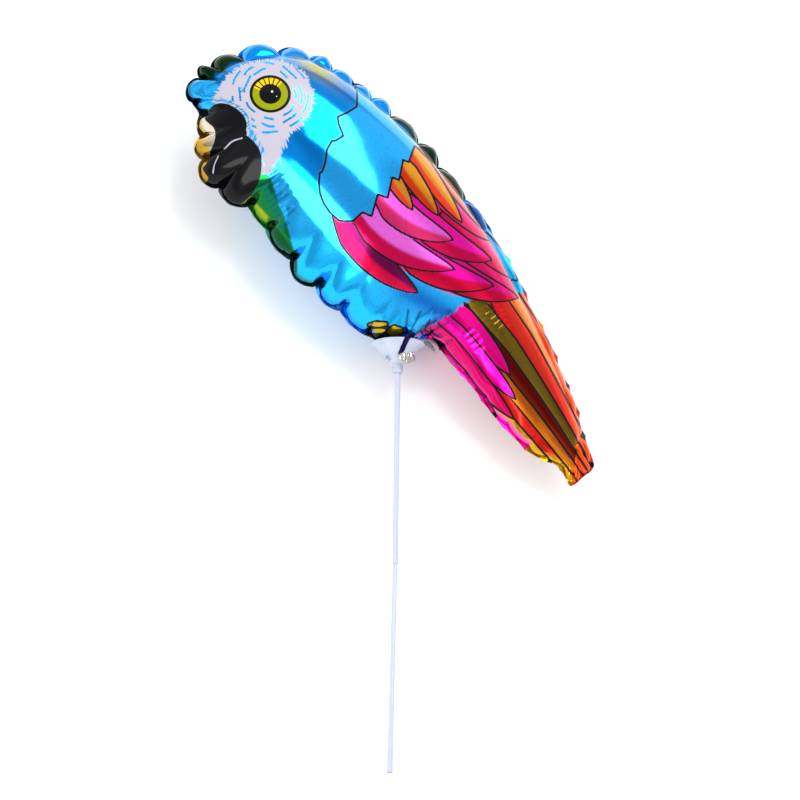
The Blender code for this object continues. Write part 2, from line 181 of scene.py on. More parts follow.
def seam_rise(places):
    """How far the seam stands out from the body's edge, and how near it is to a scallop's tip."""
    rises = np.array([scallop[2:] for scallop in SCALLOPS], float)
    index, share = places.astype(int) % len(SCALLOPS), places % 1
    pinch = rises[index - 1, 1] * (1 - share) + rises[index, 1] * share
    bulge = np.sin(math.pi * share) ** SCALLOP_ROUNDNESS
    return pinch + (rises[index, 0] - pinch) * bulge, bulge


def spread_rays(stretch, count):
    """Evenly spaced places along a stretch of the seam, with every scallop's end among them."""
    stops = np.arange(stretch[0], stretch[1] + 1)
    ends = body_edge(stops.astype(float))
    lengths = np.linalg.norm(np.diff(ends, axis=0), axis=1)
    nodes = np.round(np.concatenate([[0.0], np.cumsum(lengths)]) / lengths.sum() * count)
    return np.interp(np.arange(count + 1), nodes, stops)


def flat_rings():
    """Rays from the body's edge to its middle line: places, points by ray and ring, and stations."""
    back, tail = spread_rays(BACK, BODY_RAYS), spread_rays(TAIL, TAIL_RAYS)
    belly, face = spread_rays(BELLY, BODY_RAYS), spread_rays(FACE, FACE_RAYS)
    places = np.concatenate([back[:-1], tail[:-1], belly[:-1], face[:-1]])
    edge = body_edge(places)
    middle = 0.5 * (body_edge(back) + body_edge(belly[::-1]))
    station = np.concatenate([np.arange(BODY_RAYS), np.full(TAIL_RAYS, BODY_RAYS),
                              np.arange(BODY_RAYS, 0, -1), np.zeros(FACE_RAYS)]).astype(int)
    inner = middle[station][:, None]
    share = np.cos(np.linspace(0.0, 0.5 * math.pi, NEAR_RINGS))[None, :, None]
    return places, inner + (edge[:, None] - inner) * share, station


def film_triangles(flat, station):
    """The flat film's points by number, its triangles, and the grid of numbers by ray and ring."""
    rays, rings = flat.shape[:2]
    number = np.arange(rays * (rings - 1)).reshape(rays, rings - 1)
    number = np.concatenate([number, number.size + station[:, None]], 1)
    beside = np.roll(number, -1, 0)
    a, b = number[:, :-1].ravel(), beside[:, :-1].ravel()
    c, d = beside[:, 1:].ravel(), number[:, 1:].ravel()
    triangles = np.concatenate([np.stack([a, b, c], 1), np.stack([a, c, d], 1)])
    triangles = triangles[triangles[:, 1] != triangles[:, 2]]
    points = np.zeros((number.max() + 1, 2))
    points[number] = flat
    return points, triangles, number


def inflate(flat, station):
    """Half thickness at each flat point, by the membrane equation on the film's own triangles."""
    points, triangles, number = film_triangles(flat, station)
    count = len(points)
    p = points[triangles]
    sides = np.stack([p[:, 2] - p[:, 1], p[:, 0] - p[:, 2], p[:, 1] - p[:, 0]], 1)
    area = 0.5 * np.abs(sides[:, 0, 0] * sides[:, 1, 1] - sides[:, 0, 1] * sides[:, 1, 0])
    area = np.maximum(area, 1e-9)
    load = sum(np.bincount(triangles[:, m], area / 3, count) for m in range(3))
    pairs = [(m, n) for m in range(3) for n in range(3)]
    rows = np.concatenate([triangles[:, m] for m, _ in pairs])
    columns = np.concatenate([triangles[:, n] for _, n in pairs])
    values = np.concatenate([(sides[:, m] * sides[:, n]).sum(1) / (4 * area) for m, n in pairs])
    free = np.ones(count)
    free[number[:, 0]] = 0.0
    diagonal = np.bincount(rows[rows == columns], values[rows == columns], count)

    # Conjugate gradients, with the height held at nil along the weld
    height = np.zeros(count)
    rest = load * free
    step = rest / diagonal
    product = rest @ step
    start = product
    for _ in range(SOLVER_STEPS):
        answer = np.bincount(rows, values * step[columns], count) * free
        size = product / (step @ answer)
        height += size * step
        rest -= size * answer
        ready = rest / diagonal
        next_product = rest @ ready
        if next_product < start * SOLVER_ACCURACY ** 2:
            break
        step = ready + next_product / product * step
        product = next_product
    return PLUMPNESS * np.sqrt(2 * np.maximum(height, 0))[number]


def outward_of_loop(loop):
    """The seam's outward direction at each ray, evened over its neighbours."""
    ahead = np.roll(loop, -SEAM_EVENING, 0) - np.roll(loop, SEAM_EVENING, 0)
    outward = np.stack([-ahead[:, 1], ahead[:, 0]], 1)
    return outward / np.linalg.norm(outward, axis=1)[:, None]


def seat_in_cup(points):
    """Press the foil up where the cup's rim and funnel stand in its way."""
    offset = points - np.array([*CUP_CENTRE, 0.0])
    depth = offset @ CUP_AXIS
    radius = np.linalg.norm(offset - depth[..., None] * CUP_AXIS, axis=-1)
    inner_rim = CUP_RIM_RADIUS - CUP_WALL
    share = np.clip((inner_rim - radius) / (inner_rim - CUP_COLLAR_RADIUS), 0, 1)
    easing_from = CUP_FUNNEL_DEPTH * share ** FUNNEL_HOLLOW_INSIDE - FOIL_TO_CUP - FOIL_GIVE
    over = np.maximum(depth - easing_from, 0)
    pressed = easing_from + FOIL_GIVE * (1 - np.exp(-over / FOIL_GIVE))
    moved = (over > 0) & (radius < CUP_RIM_RADIUS + FOIL_REACH)
    return points + np.where(moved, pressed - depth, 0.0)[..., None] * CUP_AXIS


def grid_normals(points):
    """Normals of a sheet given by ray and ring, all on the near side."""
    along = np.roll(points, -1, 0) - np.roll(points, 1, 0)
    normals = np.cross(along, np.gradient(points, axis=1))
    normals[:, -1] = normals[:, -2]
    size = np.linalg.norm(normals, axis=-1, keepdims=True)
    normals = normals / np.maximum(size, 1e-9)
    return normals * np.sign(np.median(normals[..., 2]))


def inward_distance(points):
    """Distance over the sheet from the seam, ring by ring."""
    steps = np.linalg.norm(np.diff(points, axis=1), axis=2)
    return np.concatenate([np.zeros((len(points), 1)), np.cumsum(steps, 1)], 1)


def puckers(places, inward, scallop_lengths):
    """Height of the creases that run in from the seam, and of the puffs between them."""
    draw = np.random.default_rng(PUCKER_SEED)
    height = np.zeros_like(inward)
    count = len(SCALLOPS)
    for first, last, depth, reach, fine in PUCKERS:
        for k in range(first, last):
            length = scallop_lengths[k % count]
            folds = [(k, depth * draw.uniform(0.8, 1.2), reach * draw.uniform(0.75, 1.3), 0.0)]
            for n in range(fine):
                at = k + (n + draw.uniform(0.5, 1.3)) / (fine + 0.8)
                folds.append((at, depth * FINE_PUCKER_SHARE * draw.uniform(0.5, 1.2),
                              reach * draw.uniform(0.3, 0.8), draw.uniform(0, 5)))
            for at, deep, long, begins in folds:
                lean = draw.uniform(-PUCKER_LEAN, PUCKER_LEAN)
                gap = (places - at + 0.5 * count) % count - 0.5 * count
                across = gap[:, None] * length - lean * inward
                width = PUCKER_WIDTH + PUCKER_SPREAD * inward
                fall = np.exp(-(np.maximum(inward - begins, 0) / long) ** 2)
                valley = np.exp(-(np.sqrt(across ** 2 + 0.25) - 0.5) / width)
                height -= deep * fall * np.clip(inward / PUCKER_RISE, 0, 1) * valley
    puff = np.sin(math.pi * (places % 1))[:, None] * np.exp(-(inward / PUFF_REACH) ** 2)
    return height + PUFF * puff * np.clip(inward / PUFF_RISE, 0, 1)


# Long folds in the near sheet: from (x, y) to (x, y) as the camera sees them, depth and width
FOLDS = [(37, -21, 39, -11, 0.8, 1.2), (42, -23, 43, -11, 0.8, 1.2), (47, -25, 48, -12, 0.9, 1.2),
         (52, -26, 53, -13, 0.9, 1.2), (57, -27, 58, -15, 0.8, 1.2), (62, -28, 63, -18, 0.7, 1.2),
         (67, -29, 68, -21, 0.6, 1.2), (42, -52, 44, -8, 1.0, 1.6), (53, -50, 52, -14, 0.9, 1.6),
         (61, -44, 66, -16, 0.6, 1.5), (122, -58, 119, -32, 1.0, 1.8), (147, -57, 145, -40, 0.8, 1.6),
         (134, -56, 133, -44, 0.5, 1.3), (205, -12, 192, 8, 1.0, 2.0), (203, -20, 182, -14, 0.9, 1.8),
         (206, -8, 204, 22, 0.9, 2.0), (223, 26, 226, 42, 1.2, 0.9), (227.5, 24, 231, 43, 1.4, 0.9),
         (232, 22, 235, 42, 1.4, 0.9), (236.5, 22, 239, 40, 1.1, 0.9), (241, 24, 243, 38, 0.8, 0.9),
         (218.5, 28, 221, 41, 0.9, 0.9), (215, -14, 226, 6, 0.7, 1.5), (225, 6, 226, 17, 1.1, 0.9),
         (229.5, 4, 231, 16, 1.3, 0.9), (234, 3, 236, 15, 1.2, 0.9), (239, 3, 241, 12, 0.9, 0.9),
         (216, -8, 262, -13, 0.8, 1.4), (222, -1, 256, -4, 0.6, 1.3), (352, 6, 318, 14, 0.9, 1.6),
         (352, -2, 310, 2, 0.9, 1.6), (352, -8, 322, -9, 0.7, 1.4)]
FOLD_START = 0.12             # a fold's depth follows a half sine wave from this share of it on


def segment_distance(x, y, x0, y0, x1, y1):
    """Distance from a segment and the share of its length reached."""
    run = np.array([x1 - x0, y1 - y0], float)
    along = ((x - x0) * run[0] + (y - y0) * run[1]) / (run @ run)
    share = np.clip(along, 0, 1)
    return np.hypot(x - x0 - share * run[0], y - y0 - share * run[1]), share


def long_folds(x, y):
    height = np.zeros_like(x)
    for x0, y0, x1, y1, depth, width in FOLDS:
        distance, share = segment_distance(x, y, x0, y0, x1, y1)
        deep = depth * np.sin(math.pi * (FOLD_START + (1 - FOLD_START) * share))
        height -= deep * np.exp(-distance / width)
    return height


def crinkle(points):
    """Slow unevenness of the blown-up film."""
    height = np.zeros(points.shape[:-1])
    flat = points.reshape(-1, 3)
    for size, amount in CRINKLES:
        values = [noise.noise(Vector(point) / size) for point in flat]
        height += amount * np.array(values).reshape(height.shape)
    return height


def seen_height(points):
    """The y at which the camera sees a point; past the back's horizon it runs on over the film."""
    seen = points[..., 1] + math.tan(CAMERA_TIP) * np.abs(points[..., 2])
    steps = np.diff(seen[:, ::-1], axis=1)
    length = np.linalg.norm(np.diff(points[:, ::-1], axis=1), axis=2)
    ray = points[:, 0, :2] - points[:, -1, :2]
    backwards = (ray[:, 1] / np.linalg.norm(ray, axis=1))[:, None]
    held = np.clip((backwards - 0.3) / 0.5, 0, 1)
    steps = np.maximum(steps, (1.3 * held - 1) * length)
    run = np.concatenate([seen[:, -1:], seen[:, -1:] + np.cumsum(steps, 1)], 1)
    return run[:, ::-1]


def envelope_sheets():
    """The near and the far sheet by ray and ring, with the weld's rim as the first ring.

    Each point has its place, where the print is drawn for it, and its distance in from the seam.
    """
    places, flat, station = flat_rings()
    half = inflate(flat, station)
    outward = outward_of_loop(flat[:, 0])
    rises, bulges = seam_rise(places)
    wave = SEAM_WAVE * np.sin(math.pi * places)
    reach = np.minimum(SCALLOP_HEIGHT, SCALLOP_SHARE * half[:, -1:])
    dome = np.sqrt(1 - np.minimum(half / reach, 1.0) ** 2)
    reach = np.minimum(BELLY_BLEND, BELLY_SHARE * half[:, -1:])
    slope = (1 - np.minimum(half / reach, 1.0) ** 2) ** 2
    belly = np.interp(places, BELLY_STOPS, [0, 1, 1, 0])[:, None]
    fade = dome + belly * (slope - dome)
    plane = flat + fade[..., None] * (outward * rises[:, None])[:, None]
    lift = fade * wave[:, None]
    lip = 0.5 * FLANGE_THICKNESS
    width = FLANGE_AT_PINCH + (FLANGE_AT_TIP - FLANGE_AT_PINCH) * bulges
    rim = flat[:, 0] + outward * (rises + width)[:, None]
    ends = body_edge(np.arange(len(SCALLOPS) + 1, dtype=float))
    lengths = np.linalg.norm(np.diff(ends, axis=0), axis=1)
    members = np.bincount(station)

    sheets = []
    for side in (1, -1):
        smooth = np.concatenate([plane, (lift + side * (half + lip))[..., None]], 2)
        inward = inward_distance(smooth)
        seen = seen_height(smooth)
        bumps = puckers(places, inward, lengths) + crinkle(smooth)
        if side == 1:
            bumps += long_folds(smooth[..., 0], seen)
        bumps *= np.clip(inward / WELD_CALM, 0, 1)
        shape = smooth + grid_normals(smooth) * (side * bumps)[..., None]
        for axis in range(3):
            joined = np.bincount(station, shape[:, -1, axis]) / members
            shape[:, -1, axis] = joined[station]
        rim_ring = np.concatenate([rim, (wave + side * lip)[:, None]], 1)[:, None]
        shape = seat_in_cup(np.concatenate([rim_ring, shape], 1))
        drawn = np.stack([smooth[..., 0], seen, inward], 2)
        drawn = np.concatenate([drawn[:, :1], drawn], 1)
        sheets.append(np.concatenate([shape, drawn], 2))
    return places, sheets


FAR = 50.0                    # a distance at which no ink edge shows
OUTLINE_REACH = 2.0           # mm outside an area's border in which its outline is kept
INK_EDGE = 0.35               # mm over which a clear ink's edge softens, each way
CHANNELS = 6


def smooth_curve(points, per_span=8, closed=False):
    """A smooth line through a few drawn points."""
    p = np.array(points, float)
    if closed:
        p = np.concatenate([p[-1:], p, p[:2]])
    else:
        p = np.concatenate([2 * p[:1] - p[1:2], p, 2 * p[-1:] - p[-2:-1]])
    t = np.arange(per_span)[:, None] / per_span
    spans = [0.5 * (2 * b + (c - a) * t + (2 * a - 5 * b + 4 * c - d) * t ** 2
                    + (3 * b - a - 3 * c + d) * t ** 3)
             for a, b, c, d in zip(p, p[1:], p[2:], p[3:])]
    line = np.concatenate(spans)
    return line if closed else np.concatenate([line, p[-2:-1]])


def line_distance(x, y, line):
    nearest = np.full(x.shape, np.inf)
    for start, end in zip(line, line[1:]):
        nearest = np.minimum(nearest, segment_distance(x, y, *start, *end)[0])
    return nearest


def side_distance(x, y, line):
    """Distance from an open line, negative on its left; far away past its ends."""
    nearest, signed = np.full(x.shape, FAR), np.full(x.shape, FAR)
    for (x0, y0), (x1, y1) in zip(line, line[1:]):
        distance = segment_distance(x, y, x0, y0, x1, y1)[0]
        across = (x - x0) * (y1 - y0) - (y - y0) * (x1 - x0)
        closer = (distance < nearest) & (distance < OUTLINE_REACH)
        nearest = np.where(closer, distance, nearest)
        signed = np.where(closer, np.where(across < 0, -distance, distance), signed)
    for (x0, y0), (x1, y1) in ((line[0], line[1]), (line[-1], line[-2])):
        past = (x - x0) * (x1 - x0) + (y - y0) * (y1 - y0) < 0
        close = np.hypot(x - x0, y - y0) < OUTLINE_REACH
        signed = np.where(close & past, FAR, signed)
    return signed


def loop_distance(x, y, points, smooth=True):
    """Signed distance from a closed outline, negative inside."""
    loop = smooth_curve(points, closed=True) if smooth else np.array(points, float)
    loop = np.concatenate([loop, loop[:1]])
    inside = np.zeros(x.shape, bool)
    for (x0, y0), (x1, y1) in zip(loop, loop[1:]):
        if y0 != y1:
            cross = (x1 - x0) * (y - y0) / (y1 - y0) + x0
            inside ^= ((y0 > y) != (y1 > y)) & (x < cross)
    return np.where(inside, -1, 1) * line_distance(x, y, loop)


class Print:
    """The inks on the film: a clear colour, the distances in mm into black and white ink areas,
    and the signed distances across the outlines, in a few channels that neighbours don't share."""

    def __init__(self, x, y, colour):
        self.x, self.y = x, y
        self.colour = np.tile(linear(colour), (len(x), 1))
        self.black = np.full(len(x), FAR)
        self.white = np.full(len(x), FAR)
        self.outlines = np.full((CHANNELS, len(x)), FAR)
        self.fine = np.full(len(x), FAR)
        self.fine_near = np.full(len(x), FAR)
        self.drawn = 0

    def tint(self, share, colour):
        """Lay a clear ink over what is there, by a share at each point."""
        self.colour += np.clip(share, 0, 1)[:, None] * (linear(colour) - self.colour)

    def outline(self, distance, where):
        """A black line where a signed distance is nil."""
        self.drawn += 1
        channel = self.drawn % CHANNELS
        self.outlines[channel] = np.where(where, distance, self.outlines[channel])

    def pen(self, line):
        """A black pen line along an open curve."""
        distance = side_distance(self.x, self.y, line)
        self.outline(distance, distance < FAR)

    def scratch(self, line, half_width, where=True):
        """A fine line along an open curve: white in the black ink, clear in the white ink."""
        distance = side_distance(self.x, self.y, line)
        here = (np.abs(distance) < self.fine_near) & where
        self.fine = np.where(here, distance / half_width, self.fine)
        self.fine_near = np.where(here, np.abs(distance), self.fine_near)

    def cover(self, distance, colour, outlined=True):
        """A clear ink area that hides what is under it."""
        self.tint(0.5 - 0.5 * distance / INK_EDGE, colour)
        self.black = np.maximum(self.black, -distance)
        self.spare_white(distance)
        self.outlines = np.where(distance < 0, FAR, self.outlines)
        if outlined:
            self.outline(distance, distance < OUTLINE_REACH)

    def ink_black(self, distance):
        self.outlines = np.where(distance < 0, FAR, self.outlines)
        self.black = np.minimum(self.black, distance)

    def ink_white(self, distance):
        self.white = np.minimum(self.white, distance)

    def spare_white(self, distance):
        """Keep white ink off an area."""
        self.white = np.maximum(self.white, -distance)


def feather(art, soft, root, tip, width, bend, colour, upper):
    """A pointed lancet bent sideways; its upper vane shades to its own colour over soft mm."""
    root, tip = np.array(root, float), np.array(tip, float)
    length = np.linalg.norm(tip - root)
    along = (tip - root) / length
    across = np.array([-along[1], along[0]])
    u = ((art.x - root[0]) * along[0] + (art.y - root[1]) * along[1]) / length
    v = (art.x - root[0]) * across[0] + (art.y - root[1]) * across[1]
    inside = np.clip(u, 0, 1)
    v = v - bend * 4 * inside * (1 - inside)
    half = 0.5 * width * np.minimum(1, 0.5 + 1.8 * inside) * (1 - inside ** 3.2) ** 0.75
    distance = np.maximum(np.abs(v) - half, np.maximum(-u, u - 1) * length)
    art.cover(distance, colour)
    border = v - half * (0.5 * inside ** 3 - 0.15)
    art.tint((distance < 0) * np.clip(border / soft + 0.5, 0, 1), upper)


def draw_feathers(art, feathers, soft=1.8):
    for values in feathers:
        feather(art, soft, *values)


THROAT = [(32, -22), (60, -31), (84, -42), (106, -58), (96, -78), (60, -78), (30, -72)]
THROAT_STROKES = 9


def draw_body(art):
    """Belly and throat as broad washes, a band of painted shade, and a ragged edge where the tail
    begins.
    """
    x, y = art.x, art.y
    ragged = 1.1 * np.sin(0.7 * y + 2 * np.sin(0.31 * y))
    ragged += 0.7 * np.sin(2.3 * y + 1.5 * np.sin(0.9 * y))
    border = x - np.interp(y, [-30, -10, 6, 24, 60, 100], [200, 203.5, 206, 208, 211, 213]) - ragged
    art.cover(border, "#26A8EA", False)
    art.tint(np.exp(-((border + 2) / 2.5) ** 2) * (y < 12) * 0.8, "#281C70")
    low = np.clip((-y - 8) / 26, 0, 1) * np.clip((x - 60) / 40, 0, 1)
    art.tint(low * (border < 0) * 0.6, "#10B4F0")
    # Painted shade: a darker blue band near the tail's root, standing for a dark reflection in the film.
    painted_shade = np.exp(-(segment_distance(x, y, 172, -2, 207, 8)[0] / 9) ** 2) * (border < 0)
    art.tint(0.85 * painted_shade, "#0A58B0")
    throat = 0.5 - loop_distance(x, y, THROAT) / 1.2
    art.tint(throat, "#086C30")
    art.tint(throat * np.clip((-y - 44) / 8, 0, 1), "#0A4A20")
    art.tint(throat * np.clip((-y - 43) / 4, 0, 1) * np.clip((62 - x) / 8, 0, 1), "#8CA010")
    for k in range(THROAT_STROKES):
        foot = (40 + 4.0 * k, -31 - 1.5 * k)
        top = (foot[0] + 2, foot[1] + 13 + 5 * math.sin(2.1 * k))
        wash = segment_distance(x, y, *foot, *top)[0]
        art.tint(0.6 * np.exp(-(wash / 0.9) ** 2), "#00407C")


# Wing feathers from the lowest to the uppermost: root, tip, width, bend, colour, upper vane
WING = [
    ((150, 28), (232, 57), 27, -8, "#D4063C", "#E0107C"),
    ((146, 62), (222, 67), 24, 1, "#D40C50", "#DC1468"),
    ((134, 18), (213, 49), 27, -9, "#D00838", "#F010A0"),
    ((118, 44), (198, 62), 26, -8, "#D00C4C", "#F818A4"),
    ((118, 68), (186, 72), 20, 0, "#E01060", "#F81890"),
    ((88, 4), (178, 2), 25, -8, "#D40C40", "#680848"),
    ((92, 15), (184, 35), 26, -11, "#D80C50", "#FF70EC"),
    ((96, 36), (167, 50), 25, -8, "#E03070", "#FF68E8")]
WING_AREA = [(96, 8), (120, 0), (150, 4), (178, 12), (200, 23), (214, 37), (227, 55), (226, 70),
             (208, 84), (150, 96), (96, 96)]
COVERTS = [
    ((92, 86), (176, 74), 13, 1, "#E04818", "#E08028"),
    ((92, 76), (162, 65), 15, 0, "#E03818", "#DC8C24"),
    ((92, 64), (146, 55), 15, 0, "#E03C18", "#DC9024"),
    ((92, 51), (130, 43), 13, 0, "#E84820", "#E09030")]

# Tail streamers, top to bottom, then the shorter feathers under them
STREAMERS = [
    ((190, 76), (398, 8), 24, 2, "#E86020", "#E8401C"),
    ((200, 62), (396, 2), 18, 2, "#E0501C", "#DC8420"),
    ((200, 50), (395, -1), 18, 1, "#D80818", "#EC3828"),
    ((196, 33), (394, -4), 20, 1, "#907018", "#604C10"),
    ((200, 19), (392, -6), 18, 1, "#9C3C0C", "#640404"),
    ((206, 5), (390, -9), 17, 1, "#E89018", "#B85810"),
    ((210, -5), (388, -13), 14, 0, "#E8301C", "#D01C18"),
    ((232, -15), (384, -18), 12, 0, "#A49410", "#C89018")]
STREAMER_SOFT = 9.0
UNDERTAIL = [
    ((194, 15), (270, 11), 17, 1, "#D80070", "#EC0888"),
    ((194, 2), (286, 1), 17, 0, "#D4006C", "#F010A0"),
    ((192, -9), (296, -11), 17, 0, "#C80850", "#D80C68"),
    ((192, -19), (286, -19), 14, 0, "#FF48D0", "#F830B8")]

# The shoulder's lower edge, from the back to the belly, and the line where the neck ends
COVERT_EDGE = [(98, 92), (100, 81), (96, 79), (102, 67), (98, 65), (107, 51.5), (102, 49), (111, 35),
               (104, 31), (113, 16), (106, 13), (106, 3), (99, -4), (90, -5)]
NECK_EDGE = [(30, 84), (36, 76), (45, 67), (43.5, 58), (41, 50), (46, 46.5), (54.5, 43), (53, 35),
             (51.4, 33.5), (53.6, 26), (60, 18), (63.5, 11.5), (62.6, 9.8), (68, 4), (74, -0.5),
             (81, -3.6), (90, -5)]


def draw_shoulder(art):
    """The blue shoulder over the wing's roots, and the line where the neck's feathers end."""
    shoulder = COVERT_EDGE + NECK_EDGE[::-1][1:14] + [(40, 95)]
    art.cover(loop_distance(art.x, art.y, shoulder, smooth=False), "#24A6EE", False)
    art.pen(COVERT_EDGE)
    neck = NECK_EDGE + [(94, -12), (60, -28), (20, -28), (-60, -30), (-60, 95)]
    distance = loop_distance(art.x, art.y, neck, smooth=False)
    art.pen(NECK_EDGE + COVERT_EDGE[-2:-1])
    art.tint((0.5 - distance) * (art.y > -3) * 0.35, "#0078C8")


FACE_PATCH = [(-38, 12), (-34, 28), (-25, 42), (-13, 51), (0, 54), (13, 50), (23, 40), (27, 26),
              (27, 12), (32, 0), (36, -12), (35, -22), (24, -20), (4, -18), (-20, -12), (-31, -14),
              (-36, -2)]
BEAK_UPPER = [(-29, -20), (-27, -12), (-19, -6), (-8, -4.5), (0, -8.5), (3, -17), (1, -30),
              (1, -41), (2, -54), (-4, -46), (-9, -35), (-16, -29), (-26, -29)]
BEAK_LOWER = [(3, -15), (11, -11), (21, -12.5), (30, -20), (37, -31), (40, -44), (37, -56),
              (28, -68), (14, -66), (6, -50), (1.5, -38), (1.5, -26)]
BEAK_GAP = [(0, -10), (4.6, -12.4), (5, -22), (4, -42), (8, -56), (0, -56), (-2, -40), (0, -22)]
BEAK_EDGE = [(-32, -30), (-26, -29), (-16, -29), (-9, -35), (-4, -46), (8, -54), (20, -66),
             (14, -74), (-10, -74), (-34, -50)]
BEAK_SLITS = [[(0.6, -34), (0.8, -25), (4.2, -16.5)], [(9, -52), (4.4, -46.5), (1.0, -39)]]
SLIT_HALF_WIDTH = 0.5
OVER_BEAK = [(-29, -20), (-29, -12), (-19, -4), (-6, -2.5), (2, -8), (12, -9), (22, -10.5)]
EYE = (-5.9, 23.0)
EYE_RADIUS = 15.3
PUPIL_RADIUS = 8.2
DASH_RINGS = [(19.6, 7), (24.3, 8), (29.2, 9)]   # radius about the eye, and dashes in the ring
DASH_HALF_WIDTH = 0.85
DASH_SEED = 5


def draw_dashes(art):
    """Rings of short wavering strokes round the eye, left clear in the face's white ink."""
    draw = np.random.default_rng(DASH_SEED)
    for radius, count in DASH_RINGS:
        for k in range(count):
            middle = 2 * math.pi * (k + draw.uniform(-0.15, 0.15)) / count
            half = math.pi / count * draw.uniform(0.5, 0.85)
            turns = np.linspace(middle - half, middle + half, 9)
            reach = radius + draw.uniform(-0.3, 0.3) + 0.5 * np.sin(8 * turns + 2 * k)
            line = np.stack([EYE[0] + reach * np.cos(turns), EYE[1] + reach * np.sin(turns)], 1)
            art.scratch(line, DASH_HALF_WIDTH, art.white < -1.0)


def draw_head(art):
    """Painted golden sheen on the crown, white face, black beak with its horn edge, and the dashes."""
    x, y = art.x, art.y
    # Painted sheen: a golden highlight along the crown's top, painted into the ink.
    painted_sheen = np.exp(-((x - 2) / 20) ** 2 - ((y - 64 - 0.25 * x) / 6.5) ** 2)
    art.tint(0.9 * painted_sheen, "#B0A818")
    patch = loop_distance(x, y, FACE_PATCH)
    art.tint(0.5 - patch / 2, "#20A8E8")
    art.ink_white(patch)
    front = loop_distance(x, y, BEAK_EDGE)
    art.cover(front, "#B48C30", False)
    art.tint((front < 0) * np.clip((y + 44) / 10, 0, 1), "#CCC4B0")
    for loop, smooth in ((BEAK_UPPER, True), (BEAK_LOWER, True), (BEAK_GAP, False)):
        distance = loop_distance(x, y, loop, smooth)
        art.spare_white(distance)
        art.ink_black(distance)
    for line in BEAK_SLITS:
        art.scratch(smooth_curve(line), SLIT_HALF_WIDTH)
    art.spare_white(line_distance(x, y, smooth_curve(OVER_BEAK)) - 0.8)
    art.spare_white(np.hypot(x - EYE[0], y - EYE[1]) - 0.93 * EYE_RADIUS)
    draw_dashes(art)


# The claw over the cup: toes from heel to nail, and their width
TOES = [((171.5, -43), (179, -32.5), 4.8), ((175, -45.5), (182, -37), 4.8),
        ((186, -34), (189.5, -28.5), 9.5)]
CLAW_STROKES = [(196, -22, 190, -6), (201, -20, 203, -2), (205, -18, 213, -7), (192, -24, 183, -12),
                (206, -14, 210, 3)]


def draw_claw(art):
    dark = np.hypot((art.x - 183) / 8.5, (art.y + 42) / 11) - 1
    art.ink_black(dark * 8)
    for heel, nail, width in TOES:
        distance, share = segment_distance(art.x, art.y, *heel, *nail)
        art.cover(distance - 0.5 * width * (1 - 0.3 * (2 * share - 1) ** 2), "#B49A08")
    for stroke in CLAW_STROKES:
        wash = segment_distance(art.x, art.y, *stroke)[0]
        art.tint(0.85 * np.exp(-(wash / 0.9) ** 2), "#101868")


# Colours of the seam's scallops: first, last, colour in the middle and at the rim.
# Some middles are the print's own. The dark green and navy ones are painted dark reflection, and the
# darker rims are painted shade at the weld.
SEAM_COLOURS_AND_SHADE = [(0, 3, "#0088D8", "#0050A0"), (3, 6, "#003028", "#001C18"),
                (6, 7, "#0058A8", "#003060"), (7, 9, "#00A8E0", "#0070B0"),
                (9, 17, "#F05018", "#D84010"), (17, 20, "#D0A018", "#B08010"),
                (20, 25, "#F838B8", "#E01890"), (25, 26, "#20A8F0", "#1070D0"),
                (26, 28, "#1060B0", "#103070"),
                (28, 31, "#1088D8", "#0C58A8"), (31, 33, "#0A5848", "#083830"),
                (33, 34, "#508C10", "#206020"), (34, 35, "#202024", "#181818"),
                (35, 38, "#9C7C1C", "#70540C"), (38, 40, "#004050", "#002040"),
                (40, 42, "#00280C", "#001C08"), (42, 45, "#0088D8", "#0050A0")]
SEAM_BAND = 19.0              # mm in from the seam that its colours reach on the back and brow
BELLY_BAND = 6.0
SEAM_FADE = 5.0
RIM_SHADE_BAND = 3.5


def draw_seam(art, places, inward):
    for first, last, middle, rim in SEAM_COLOURS_AND_SHADE:
        here = (places - first) % len(SCALLOPS) < last - first
        back = (first < TAIL[0]) | (first >= BROW_SCALLOP)
        band = SEAM_BAND if back else BELLY_BAND
        # Middle colours: the print in some scallops, painted dark reflection in the dark green and navy
        # ones.
        art.tint(np.clip((band - inward) / SEAM_FADE + 0.5, 0, 1) * here, middle)
        # The rim colour is painted shade, which darkens each scallop towards the weld.
        art.tint(np.clip((RIM_SHADE_BAND - inward) / RIM_SHADE_BAND, 0, 1) * here, rim)


def draw_print(x, y, places, inward):
    """The whole macaw, painted from the lowest ink to the uppermost."""
    art = Print(x, y, "#A83018")
    draw_feathers(art, STREAMERS, STREAMER_SOFT)
    draw_feathers(art, UNDERTAIL)
    draw_body(art)
    draw_claw(art)
    art.cover(loop_distance(x, y, WING_AREA), "#E01468", False)
    draw_feathers(art, WING)
    draw_feathers(art, COVERTS)
    draw_shoulder(art)
    draw_head(art)
    draw_seam(art, places, inward)
    return art


def bmesh_piece(name, builder, material, sharp=math.radians(60)):
    """A finished bmesh, in the frame's metres, as a smooth-shaded piece of the object."""
    mesh = bpy.data.meshes.new(name)
    builder.to_mesh(mesh)
    builder.free()
    mesh.shade_smooth()
    mesh.set_sharp_from_angle(angle=sharp)
    mesh.materials.append(material)
    piece = bpy.data.objects.new(name, mesh)
    bpy.context.collection.objects.link(piece)
    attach(piece, "root")
    return piece


